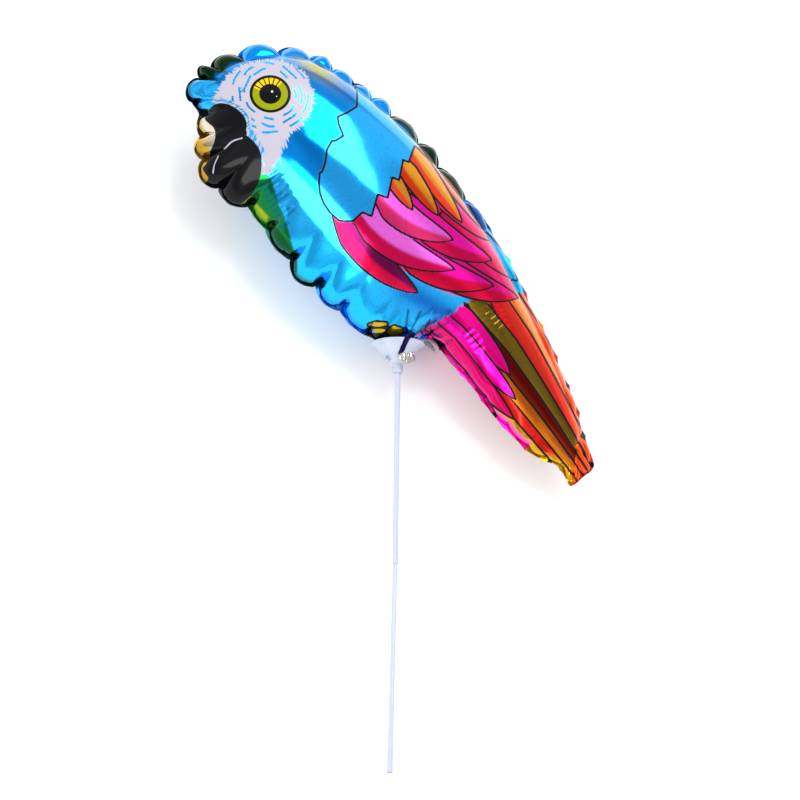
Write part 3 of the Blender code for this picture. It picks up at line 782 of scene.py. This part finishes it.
def build_envelope(material):
    """Both printed sheets, welded round their edge, as one closed film."""
    places, (near, far) = envelope_sheets()
    far_rings = np.append(np.arange(0, NEAR_RINGS - 1, FAR_RING_STEP), NEAR_RINGS - 1)[::-1]
    rows = np.concatenate([far[:, far_rings + 1], far[:, :1], near], 1)
    rows = np.concatenate([rows, rows[:1]]).transpose(1, 0, 2)
    x, y, inward = rows[..., 3:].reshape(-1, 3).T
    place_grid = np.broadcast_to(np.append(places, places[0]), rows.shape[:2])
    art = draw_print(x, y, place_grid.ravel(), inward)
    points = to_frame(rows[..., :3].reshape(-1, 3))
    points[:, 2] = np.maximum(points[:, 2], 0.0)

    builder = bmesh.new()
    bmesh.ops.create_grid(builder, x_segments=rows.shape[1] - 1, y_segments=rows.shape[0] - 1)
    layers = builder.verts.layers
    ink = layers.float_color.new("ink")
    distances = {"black": art.black, "white": art.white, "fine": art.fine, "fine_near": art.fine_near}
    distances = [(layers.float.new(name), values) for name, values in distances.items()]
    vectors = {"outlines_a": art.outlines[:3].T, "outlines_b": art.outlines[3:].T,
               "drawn": np.stack([x, y, 0 * x], 1)}
    vectors = [(layers.float_vector.new(name), values) for name, values in vectors.items()]
    for k, vert in enumerate(builder.verts):
        vert.co = points[k]
        vert[ink] = (*art.colour[k], 1.0)
        for layer, values in distances + vectors:
            vert[layer] = values[k]
    bmesh.ops.remove_doubles(builder, verts=builder.verts, dist=1e-6)
    bmesh.ops.recalc_face_normals(builder, faces=builder.faces)
    piece = bmesh_piece("foil_envelope", builder, material)
    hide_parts("foil_balloon")


def plug(node, inputs):
    """Fill a node's inputs: with a value, a hex colour, a socket, or a node's first output."""
    for name, value in inputs.items():
        if isinstance(value, bpy.types.Node):
            value = value.outputs[0]
        if isinstance(value, bpy.types.NodeSocket):
            node.id_data.links.new(value, node.inputs[name])
        elif isinstance(value, str):
            node.inputs[name].default_value = (*linear(value), 1.0)
        else:
            node.inputs[name].default_value = value


def add(tree, kind, inputs=None, **settings):
    """Add a shader node with its settings and inputs."""
    made = tree.nodes.new("ShaderNode" + kind)
    for name, value in settings.items():
        setattr(made, name, value)
    plug(made, inputs or {})
    return made


def new_material(name):
    material = bpy.data.materials.new(name)
    material.use_nodes = True
    return material, material.node_tree, material.node_tree.nodes["Principled BSDF"]


HAIR_CENTRE = (-2.0, 18.0)
HAIRS_ROUND = 26.0                # noise units per radian about the face's middle
HAIR_STRETCH = 0.12               # noise units per mm along a hair
HAIR_FROM, HAIR_FULL = 20.0, 26.0
HAIR_SWING = 14.0
EYE_TOP = math.radians(150)       # the middle of the golden sector in the drawing
EYE_STRETCH = (1.06, 0.955, 1.0)
EYE_SECTOR = math.radians(58)
EYE_EDGE = 0.3
RING_INSET = 1.0
LASH_STEP = math.radians(19.5)
GLINTS = [((-6.2, 25.4), 0.8), ((-1.2, 25.4), 0.4)]
LINE_WIDTH = 1.65
LINE_EDGE = 0.15
AREA_EDGE = 0.2
WHITE_EDGE = 0.3
HATCH_STRETCH = (0.16, 0.55, 1.0)
HATCH_TURN = (0.0, 0.0, 0.5)
HATCH_SCALE = 2.2                 # stretched, this makes strokes of about 3 mm by 1 mm


def polar(tree, drawn, centre, turn=0.0, stretch=(1.0, 1.0, 1.0)):
    """Bearing from a turned zero, and distance in mm, of the drawing's points about a centre."""
    moved = add(tree, "VectorMath", {0: drawn, 1: (*centre, 0.0)}, operation="SUBTRACT")
    turned = add(tree, "VectorRotate", {"Vector": moved, "Angle": -turn}, rotation_type="Z_AXIS")
    parts = add(tree, "SeparateXYZ", {0: turned})
    bearing = add(tree, "Math", {0: parts.outputs[1], 1: parts.outputs[0]}, operation="ARCTAN2")
    stretched = add(tree, "VectorMath", {0: turned, 1: stretch}, operation="MULTIPLY")
    radius = add(tree, "VectorMath", {0: stretched}, operation="LENGTH")
    return bearing, radius.outputs["Value"]


def face_nodes(tree, drawn, white):
    """Share of white ink on the face, hairy at its edge, and the hairs' own swing."""
    bearing, radius = polar(tree, drawn, HAIR_CENTRE)
    around = add(tree, "Math", {0: bearing, 1: HAIRS_ROUND}, operation="MULTIPLY")
    outwards = add(tree, "Math", {0: radius, 1: HAIR_STRETCH}, operation="MULTIPLY")
    hair_at = add(tree, "CombineXYZ", {0: around, 1: outwards})
    hair = add(tree, "TexNoise", {"Vector": hair_at, "Scale": 1.0, "Detail": 2.0})
    outer = add(tree, "MapRange", {0: radius, 1: HAIR_FROM, 2: HAIR_FULL, 4: HAIR_SWING})
    swing = add(tree, "Math", {0: hair, 1: 0.5}, operation="SUBTRACT")
    ragged = add(tree, "Math", {0: swing, 1: outer, 2: white}, operation="MULTIPLY_ADD")
    white_share = add(tree, "MapRange", {0: ragged, 1: WHITE_EDGE, 2: -WHITE_EDGE})
    return white_share, swing


def outline_nodes(tree):
    """Share of black ink that the outlines lay down, from the nearest of the channels."""
    sides = []
    for name in ("outlines_a", "outlines_b"):
        across = add(tree, "Attribute", attribute_name=name).outputs["Vector"]
        sides.append(add(tree, "VectorMath", {0: across}, operation="ABSOLUTE"))
    nearest = add(tree, "VectorMath", {0: sides[0], 1: sides[1]}, operation="MINIMUM")
    parts = add(tree, "SeparateXYZ", {0: nearest})
    line = parts.outputs[0]
    for part in parts.outputs[1:]:
        line = add(tree, "Math", {0: line, 1: part}, operation="MINIMUM")
    half = 0.5 * LINE_WIDTH
    return add(tree, "MapRange", {0: line, 1: half + LINE_EDGE, 2: half - LINE_EDGE})


def fine_nodes(tree, swing):
    """Share of the fine lines, their width wavering with the face's hairs."""
    fine = add(tree, "Attribute", attribute_name="fine").outputs["Fac"]
    fine = add(tree, "Math", {0: fine}, operation="ABSOLUTE")
    fine = add(tree, "Math", {0: swing, 1: 1.6, 2: fine}, operation="MULTIPLY_ADD")
    fine = add(tree, "MapRange", {0: fine, 1: 1.15, 2: 0.85})
    near = add(tree, "Attribute", attribute_name="fine_near").outputs["Fac"]
    near = add(tree, "MapRange", {0: near, 1: 1.6, 2: 1.4})
    return add(tree, "Math", {0: fine, 1: near}, operation="MULTIPLY")


def eye_nodes(tree, drawn, colour, black_share):
    """The eye over the print: green and gold iris, ring, lashes and pupil with two glints."""
    turn, reach = polar(tree, drawn, EYE, EYE_TOP, EYE_STRETCH)
    apart = add(tree, "Math", {0: turn}, operation="ABSOLUTE")
    upper = add(tree, "MapRange", {0: apart, 1: EYE_SECTOR + 0.02, 2: EYE_SECTOR - 0.02})
    iris = add(tree, "Mix", {0: upper, 6: "#868C00", 7: "#E8B800"}, data_type="RGBA").outputs[2]
    disc = add(tree, "MapRange", {0: reach, 1: EYE_RADIUS, 2: EYE_RADIUS - EYE_EDGE})
    colour = add(tree, "Mix", {0: disc, 6: colour, 7: iris}, data_type="RGBA").outputs[2]

    ring = add(tree, "Math", {0: reach, 1: EYE_RADIUS - RING_INSET}, operation="SUBTRACT")
    ring = add(tree, "Math", {0: ring}, operation="ABSOLUTE")
    ring = add(tree, "MapRange", {0: ring, 1: 1.25, 2: 0.95})
    pupil = add(tree, "MapRange", {0: reach, 1: PUPIL_RADIUS + AREA_EDGE, 2: PUPIL_RADIUS - AREA_EDGE})
    lash = add(tree, "Math", {0: turn, 1: 1 / LASH_STEP, 2: 0.5}, operation="MULTIPLY_ADD")
    lash = add(tree, "Math", {0: lash, 1: 0.5}, operation="PINGPONG")
    lash = add(tree, "Math", {0: lash, 1: reach}, operation="MULTIPLY")
    lash = add(tree, "MapRange", {0: lash, 1: 0.70 / LASH_STEP, 2: 0.35 / LASH_STEP})
    for limit in (upper, disc):
        lash = add(tree, "Math", {0: lash, 1: limit}, operation="MULTIPLY")
    black = add(tree, "Math", {0: ring, 1: pupil}, operation="MAXIMUM")
    black = add(tree, "Math", {0: black, 1: lash}, operation="MAXIMUM")
    for place, size in GLINTS:
        _, gap = polar(tree, drawn, place)
        spared = add(tree, "MapRange", {0: gap, 1: size - AREA_EDGE, 2: size + AREA_EDGE})
        black = add(tree, "Math", {0: black, 1: spared}, operation="MULTIPLY")
        glint = add(tree, "MapRange", {0: gap, 1: size + AREA_EDGE, 2: size - AREA_EDGE})
        colour = add(tree, "Mix", {0: glint, 6: colour, 7: "#F0F0F0"}, data_type="RGBA").outputs[2]
    outside = add(tree, "Math", {0: 1.0, 1: disc}, operation="SUBTRACT")
    black_share = add(tree, "Math", {0: black_share, 1: outside}, operation="MULTIPLY")
    black_share = add(tree, "Math", {0: black_share, 1: black}, operation="MAXIMUM")
    return colour, black_share, disc


def film_material():
    """Metallised nylon film printed with clear inks, and opaque white and black over them.

    The clear inks tint the metal's own reflection; the opaque ones are a plain glossy paint.
    The hatching is the print's fine engraving, drawn coarser than the real one so that it shows.
    """
    material, tree, shader = new_material("printed metallised film")
    ink = add(tree, "Attribute", attribute_name="ink").outputs["Color"]
    black = add(tree, "Attribute", attribute_name="black").outputs["Fac"]
    white = add(tree, "Attribute", attribute_name="white").outputs["Fac"]
    drawn = add(tree, "Attribute", attribute_name="drawn").outputs["Vector"]
    hatch_at = add(tree, "Mapping", {"Vector": drawn, "Scale": HATCH_STRETCH, "Rotation": HATCH_TURN})
    hatch = add(tree, "TexNoise", {"Vector": hatch_at, "Scale": HATCH_SCALE, "Detail": 3.0})
    hatch = add(tree, "MapRange", {0: hatch, 1: 0.61, 2: 0.66, 3: 1.0, 4: 0.60})
    colour = add(tree, "Mix", {0: 1.0, 6: ink, 7: hatch}, data_type="RGBA", blend_type="MULTIPLY")

    white_share, swing = face_nodes(tree, drawn, white)
    fine = fine_nodes(tree, swing)
    white_share = add(tree, "Math", {0: white_share, 1: fine}, operation="SUBTRACT")
    white_share = add(tree, "Math", {0: white_share}, operation="ABSOLUTE")
    filled = add(tree, "MapRange", {0: black, 1: AREA_EDGE, 2: -AREA_EDGE})
    black_share = add(tree, "Math", {0: filled, 1: outline_nodes(tree)}, operation="MAXIMUM")
    kept = add(tree, "Math", {0: 1.0, 1: fine}, operation="SUBTRACT")
    black_share = add(tree, "Math", {0: black_share, 1: kept}, operation="MULTIPLY")

    colour = add(tree, "Mix", {0: white_share, 6: colour.outputs[2], 7: "#ACA6B2"}, data_type="RGBA")
    colour, black_share, eye = eye_nodes(tree, drawn, colour.outputs[2], black_share)
    colour = add(tree, "Mix", {0: black_share, 6: colour, 7: "#060608"}, data_type="RGBA")
    opaque = add(tree, "Math", {0: white_share, 1: black_share}, operation="MAXIMUM")
    opaque = add(tree, "Math", {0: opaque, 1: eye}, operation="MAXIMUM")
    clear = add(tree, "Math", {0: 1.0, 1: opaque}, operation="SUBTRACT")
    rough = add(tree, "Math", {0: white_share, 1: 0.22, 2: 0.12}, operation="MULTIPLY_ADD")
    plug(shader, {"Base Color": colour.outputs[2], "Metallic": clear, "Roughness": rough,
                  "Specular IOR Level": 0.1, "Coat Weight": 0.08, "Coat Roughness": 0.06})
    return material


def plastic_material():
    """Injection-moulded white polypropylene: soft gloss, faint flow streaks."""
    material, tree, shader = new_material("moulded polypropylene")
    place = add(tree, "TexCoord").outputs["Object"]
    flow = add(tree, "TexNoise", {"Vector": place, "Scale": 120.0, "Detail": 3.0})
    tone = add(tree, "MapRange", {0: flow, 1: 0.3, 2: 0.7})
    colour = add(tree, "Mix", {0: tone, 6: "#AAB4C6", 7: "#BAC2D0"}, data_type="RGBA").outputs[2]
    rough = add(tree, "Math", {0: flow, 1: 0.15, 2: 0.30}, operation="MULTIPLY_ADD")
    bump = add(tree, "Bump", {"Height": flow, "Strength": 0.15, "Distance": 0.0002})
    plug(shader, {"Base Color": colour, "Roughness": rough, "Normal": bump,
                  "Subsurface Weight": 0.15, "Subsurface Radius": (0.003, 0.003, 0.004)})
    return material


def tube_material():
    """Extruded polypropylene tube: milky, with fine lines along its length."""
    material, tree, shader = new_material("extruded polypropylene tube")
    place = add(tree, "TexCoord").outputs["Object"]
    lines_at = add(tree, "Mapping", {"Vector": place, "Scale": (1600.0, 12.0, 1600.0)})
    lines = add(tree, "TexNoise", {"Vector": lines_at, "Scale": 1.0, "Detail": 2.0})
    colour = add(tree, "Mix", {0: lines, 6: "#ACB0C8", 7: "#BEC2D6"}, data_type="RGBA").outputs[2]
    rough = add(tree, "Math", {0: lines, 1: 0.12, 2: 0.22}, operation="MULTIPLY_ADD")
    plug(shader, {"Base Color": colour, "Roughness": rough,
                  "Subsurface Weight": 0.25, "Subsurface Radius": (0.002, 0.002, 0.003)})
    return material


def clouded_metal(name, scale, detail, dark, light, roughness):
    """Crumpled film with its metal in the open, clouded between two tones."""
    material, tree, shader = new_material(name)
    place = add(tree, "TexCoord").outputs["Object"]
    cloud = add(tree, "TexNoise", {"Vector": place, "Scale": scale, "Detail": detail})
    colour = add(tree, "Mix", {0: cloud, 6: dark, 7: light}, data_type="RGBA").outputs[2]
    plug(shader, {"Base Color": colour, "Metallic": 1.0, "Roughness": roughness})
    return material


def silver_material():
    """Unprinted side of the film where the filling tail is cut off and crumpled."""
    return clouded_metal("bare metallised film", 260.0, 4.0, "#8A8A88", "#D8D4C6", 0.25)


def tail_ink_material():
    """The filling tail's printed length: the dark end of the belly's blue ink."""
    return clouded_metal("dark printed film", 180.0, 3.0, "#14103C", "#201848", 0.22)


def clear_film_material():
    """The clear offcut of the filling neck: bare nylon film, see-through and a little grey."""
    material, _, shader = new_material("clear nylon film")
    plug(shader, {"Base Color": "#7C9494", "Roughness": 0.18, "Transmission Weight": 0.6, "IOR": 1.53})
    return material


STICK_SHARP = math.radians(40)
CUP_SIDES = 96
TUBE_SIDES = 40
FUNNEL_STEPS = 18
RIBS = 8
RIB_DEPTH = 0.25
RIB_NARROWNESS = 12
LUG_PLACE = (8.2, 1.5, -13.2)
LUG_TURN = math.radians(100)
LUG_LENGTH = 5.0
LUG_ROOT, LUG_TIP = 2.1, 1.7      # radii
LUG_WALL = 0.7
LUG_PIT = 1.6


def spun(profile, steps):
    """A closed profile of (radius, height) in mm, spun about Z."""
    builder = bmesh.new()
    points = [builder.verts.new((radius, 0.0, height)) for radius, height in profile]
    edges = [builder.edges.new(pair) for pair in zip(points, points[1:] + points[:1])
             if pair[0].co.x or pair[1].co.x]
    bmesh.ops.spin(builder, geom=points + edges, cent=(0, 0, 0), axis=(0, 0, 1),
                   angle=2 * math.pi, steps=steps, use_merge=True)
    bmesh.ops.remove_doubles(builder, verts=builder.verts, dist=1e-4)
    bmesh.ops.recalc_face_normals(builder, faces=builder.faces)
    return builder


def stick_piece(name, builder, start, direction, material):
    """A turned part in mm as a piece of the object, its local -Z laid down the stick."""
    near, up = Vector((0, 0, 1)), -Vector(direction).normalized()
    turn = Matrix((near.cross(up), near, up)).transposed().to_4x4()
    place = LYING @ Matrix.Scale(MM, 4) @ Matrix.Translation(Vector(start)) @ turn
    bmesh.ops.transform(builder, matrix=place, verts=builder.verts)
    return bmesh_piece(name, builder, material, STICK_SHARP)


def cup_profile():
    """The cup's section: the funnel inside, its blind floor, the collar, and back up to the rim."""
    inner_rim = CUP_RIM_RADIUS - CUP_WALL
    bore = UPPER_RADIUS + SOCKET_FIT
    inside, outside = [], []
    for k in range(FUNNEL_STEPS + 1):
        share = k / FUNNEL_STEPS
        radius = inner_rim + (CUP_COLLAR_RADIUS - inner_rim) * share
        inside.append((radius, -CUP_FUNNEL_DEPTH * share ** FUNNEL_HOLLOW_INSIDE))
        drop = (CUP_FUNNEL_DEPTH - CUP_WALL) * (1 - share) ** FUNNEL_HOLLOW_OUTSIDE
        outside.append((CUP_FOOT_RADIUS + (CUP_RIM_RADIUS - CUP_FOOT_RADIUS) * share, -CUP_WALL - drop))
    mouth, floor = -CUP_FUNNEL_DEPTH - CUP_COLLAR_LENGTH, -CUP_FUNNEL_DEPTH - CUP_FLOOR
    bottom = [(0.0, -CUP_FUNNEL_DEPTH), (0.0, floor), (bore, floor)]
    collar = [(bore, mouth + 0.4), (bore + 0.3, mouth), (CUP_COLLAR_RADIUS - 0.5, mouth),
              (CUP_COLLAR_RADIUS, mouth + 0.5), (CUP_COLLAR_RADIUS, -CUP_FUNNEL_DEPTH - CUP_WALL)]
    rim = [(CUP_RIM_RADIUS, -0.7), (CUP_RIM_RADIUS - 0.15, -0.15), (CUP_RIM_RADIUS - 0.5, 0.0)]
    return inside + bottom + collar + outside + rim


def build_cup(material):
    """Concave funnel with its collar, blind socket, ribs and the hollow lug on its side."""
    builder = spun(cup_profile(), CUP_SIDES)
    for vert in builder.verts:
        bearing = math.atan2(vert.co.y, vert.co.x)
        on_funnel = -CUP_FUNNEL_DEPTH < vert.co.z < -CUP_WALL * 1.5
        if on_funnel and math.hypot(vert.co.x, vert.co.y) > CUP_COLLAR_RADIUS:
            vert.co.z -= RIB_DEPTH * max(0.0, math.cos(RIBS * bearing)) ** RIB_NARROWNESS
    place = Matrix.Translation(LUG_PLACE) @ Matrix.Rotation(LUG_TURN, 4, "X")
    lug = bmesh.ops.create_cone(builder, cap_ends=True, segments=24, radius1=LUG_ROOT,
                                radius2=LUG_TIP, depth=LUG_LENGTH, matrix=place)
    tip = max((face for vert in lug["verts"] for face in vert.link_faces),
              key=lambda face: face.calc_center_median().y)
    bmesh.ops.inset_region(builder, faces=[tip], thickness=LUG_WALL)
    bmesh.ops.translate(builder, verts=tip.verts, vec=-LUG_PIT * tip.normal)
    cup = stick_piece("cup", builder, (*CUP_CENTRE, 0), CUP_AXIS, material)
    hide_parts("balloon_cup")


def build_tubes(material):
    """The upper tube in the cup's collar, and the lower one with its plug and flared end."""
    axis = Vector(CUP_AXIS)
    mouth = Vector((*CUP_CENTRE, 0)) + axis * (CUP_FUNNEL_DEPTH + CUP_COLLAR_LENGTH)
    top, bore = CUP_COLLAR_LENGTH - CUP_FLOOR - FIT, UPPER_RADIUS - TUBE_WALL
    builder = spun([(bore, top), (bore, -STICK_JOINT_AT), (UPPER_RADIUS - 0.15, -STICK_JOINT_AT),
                    (UPPER_RADIUS, -STICK_JOINT_AT + 0.3), (UPPER_RADIUS, top)], TUBE_SIDES)
    upper = stick_piece("upper_tube", builder, mouth, axis, material)
    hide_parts("stick_upper")

    lower_axis = Matrix.Rotation(STICK_LEAN, 3, "Z") @ axis
    start = mouth + axis * (STICK_JOINT_AT - 0.5 * PLUG_LENGTH)
    start = start + lower_axis * (0.5 * PLUG_LENGTH + FIT)
    length = STICK_LENGTH - STICK_JOINT_AT - FIT
    plug_radius, bore = UPPER_RADIUS - TUBE_WALL - SOCKET_FIT, LOWER_RADIUS - TUBE_WALL
    plug_bore = plug_radius - TUBE_WALL
    flare_from = -length + FLARE_LENGTH
    builder = spun([(plug_bore, PLUG_LENGTH), (plug_bore, -FLARE_LENGTH), (bore, -2 * FLARE_LENGTH),
                    (bore, flare_from), (bore + END_FLARE, -length), (LOWER_RADIUS + END_FLARE, -length),
                    (LOWER_RADIUS, flare_from), (LOWER_RADIUS, -0.3), (LOWER_RADIUS - 0.2, 0.0),
                    (plug_radius, 0.0), (plug_radius, PLUG_LENGTH)], TUBE_SIDES)
    lower = stick_piece("lower_tube", builder, start, lower_axis, material)
    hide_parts("stick_lower")


# Loose film by the cup: bearing about its axis, radius past the rim, depth, width, and turn
# of the strip's width from round the cup to along it
TAIL_STATIONS = [(85, -8, -6, 5, 0), (85, -2, -3.4, 4.8, 0), (85, 1.2, -1.4, 4.6, 0),
                 (85, 1.4, 0.6, 4.4, 0), (86, -1.4, 2.6, 4.2, 0), (88, -4.4, 5.2, 4, 0),
                 (91, -7.4, 8.4, 4, 0), (95, -9, 10.6, 4.5, 30)]
TAB_STATIONS = [(103, -9.4, 10.6, 5, 60), (92, -9.2, 11.4, 8, 90), (76, -9.2, 12.2, 10, 90),
                (60, -8.8, 12.4, 9.5, 90), (46, -7.8, 12.2, 8, 90), (34, -6.6, 11.6, 6, 90)]
FLAP_STATIONS = [(9, -0.5, -3, 5, 90), (8, 2, -1.8, 5, 90), (6, 5, 0.4, 4.6, 90),
                 (4, 7.6, 2.8, 3.6, 90), (4, 9, 5, 2.2, 90)]
STRIP_COLUMNS = 12
STRIP_ROWS_PER_SPAN = 10
STRIP_CURL = 0.35
FILM_WALL = 0.2


def strip(stations, crumple, material, name):
    """A crumpled strip of film through its stations, with a little thickness."""
    side, axis = Vector((-CUP_AXIS[1], CUP_AXIS[0], 0.0)), Vector(CUP_AXIS)
    out = Vector((0, 0, 1))
    rows = smooth_curve(stations, STRIP_ROWS_PER_SPAN)
    builder = bmesh.new()
    bmesh.ops.create_grid(builder, x_segments=STRIP_COLUMNS, y_segments=len(rows) - 1)
    builder.verts.ensure_lookup_table()
    for row, (bearing, past_rim, depth, width, twist) in enumerate(rows):
        turn, twist = math.radians(bearing), math.radians(twist)
        outward = side * math.cos(turn) + out * math.sin(turn)
        across = -side * math.sin(turn) + out * math.cos(turn)
        across = across * math.cos(twist) + axis * math.sin(twist)
        middle = Vector((*CUP_CENTRE, 0.0)) + outward * (CUP_RIM_RADIUS + past_rim) + axis * depth
        for column in range(STRIP_COLUMNS + 1):
            share = 2 * column / STRIP_COLUMNS - 1
            point = middle + across * (0.5 * width * share)
            swell = crumple * noise.noise(Vector((0.22 * row, 1.3 * share, 3.7)))
            point += outward * (STRIP_CURL * math.cos(3 * share) + swell)
            builder.verts[row * (STRIP_COLUMNS + 1) + column].co = point
    bmesh.ops.transform(builder, matrix=LYING @ Matrix.Scale(MM, 4), verts=builder.verts)
    bmesh.ops.recalc_face_normals(builder, faces=builder.faces)
    piece = bmesh_piece(name, builder, material)
    wall = piece.modifiers.new("film", "SOLIDIFY")
    wall.thickness = FILM_WALL * MM
    wall.offset = 0.0
    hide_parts("foil_balloon")


def camera_axes():
    """The image's right, up and the way back to the camera, in the frame."""
    turn = LYING.to_3x3()
    head_to_tail, back, out = (turn @ Vector(axis) for axis in ((1, 0, 0), (0, 1, 0), (0, 0, 1)))
    towards = math.cos(CAMERA_TIP) * out - math.sin(CAMERA_TIP) * back
    across = towards.cross(head_to_tail)
    right = math.cos(IMAGE_TURN) * head_to_tail - math.sin(IMAGE_TURN) * across
    up = math.sin(IMAGE_TURN) * head_to_tail + math.cos(IMAGE_TURN) * across
    return right, up, towards


def place_camera():
    """A long lens square to the image, framed as the photograph is."""
    right, up, towards = camera_axes()
    aside, above = [(0.5 * PHOTO_SIZE - pixel) * PIXEL for pixel in HEAD_PIXEL]
    middle = TOY_PLACE + right * aside - up * above
    data = bpy.data.cameras.new("camera")
    data.sensor_width = SENSOR_WIDTH
    data.lens = SENSOR_WIDTH * CAMERA_DISTANCE / (PHOTO_SIZE * PIXEL)
    camera = bpy.data.objects.new("camera", data)
    bpy.context.collection.objects.link(camera)
    camera.matrix_world = Matrix((right, up, towards)).transposed().to_4x4()
    camera.location = middle + towards * CAMERA_DISTANCE
    bpy.context.scene.camera = camera


def softbox(name, place, target, size, power):
    """A rectangular white light aimed at a point."""
    data = bpy.data.lights.new(name, "AREA")
    data.shape = "RECTANGLE"
    data.size, data.size_y = size
    data.energy = power
    lamp = bpy.data.objects.new(name, data)
    bpy.context.collection.objects.link(lamp)
    lamp.location = place
    lamp.rotation_euler = (Vector(target) - Vector(place)).to_track_quat("-Z", "Y").to_euler()


def light_studio():
    """Two softboxes in a pale room whose brighter and darker parts the film mirrors."""
    bpy.context.scene.view_settings.view_transform = "Standard"
    world = bpy.data.worlds.new("studio")
    world.use_nodes = True
    bpy.context.scene.world = world
    towards = add(world.node_tree, "TexCoord").outputs["Generated"]
    cloud = add(world.node_tree, "TexNoise", {"Vector": towards, "Scale": 1.6, "Detail": 0.0})
    level = add(world.node_tree, "MapRange", {0: cloud, 1: 0.36, 2: 0.50, 3: 0.84, 4: 1.3})
    plug(world.node_tree.nodes["Background"], {"Color": "#F4F6FA", "Strength": level})
    softbox("softbox over the back", (0.3, 1.0, 1.5), (0, 0.15, 0), (0.72, 1.5), 20)
    softbox("softbox by the belly", (-1.0, -0.8, 1.2), (0, 0.1, 0), (0.6, 1.3), 14)


def build_floor():
    """Plain matt board under the toy, well past the picture's edge."""
    builder = bmesh.new()
    bmesh.ops.create_grid(builder, x_segments=1, y_segments=1, size=3.0)
    mesh = bpy.data.meshes.new("floor")
    builder.to_mesh(mesh)
    builder.free()
    floor = bpy.data.objects.new("floor", mesh)
    bpy.context.collection.objects.link(floor)
    material, _, shader = new_material("painted board")
    plug(shader, {"Base Color": "#F4F4F2", "Roughness": 0.9})
    mesh.materials.append(material)


place_camera()
light_studio()
build_floor()
build_envelope(film_material())
build_cup(plastic_material())
build_tubes(tube_material())
strip(TAIL_STATIONS, 0.25, tail_ink_material(), "filling_tail")
strip(TAB_STATIONS, 1.0, silver_material(), "filling_tail_end")
strip(FLAP_STATIONS, 0.5, clear_film_material(), "clear_flap")
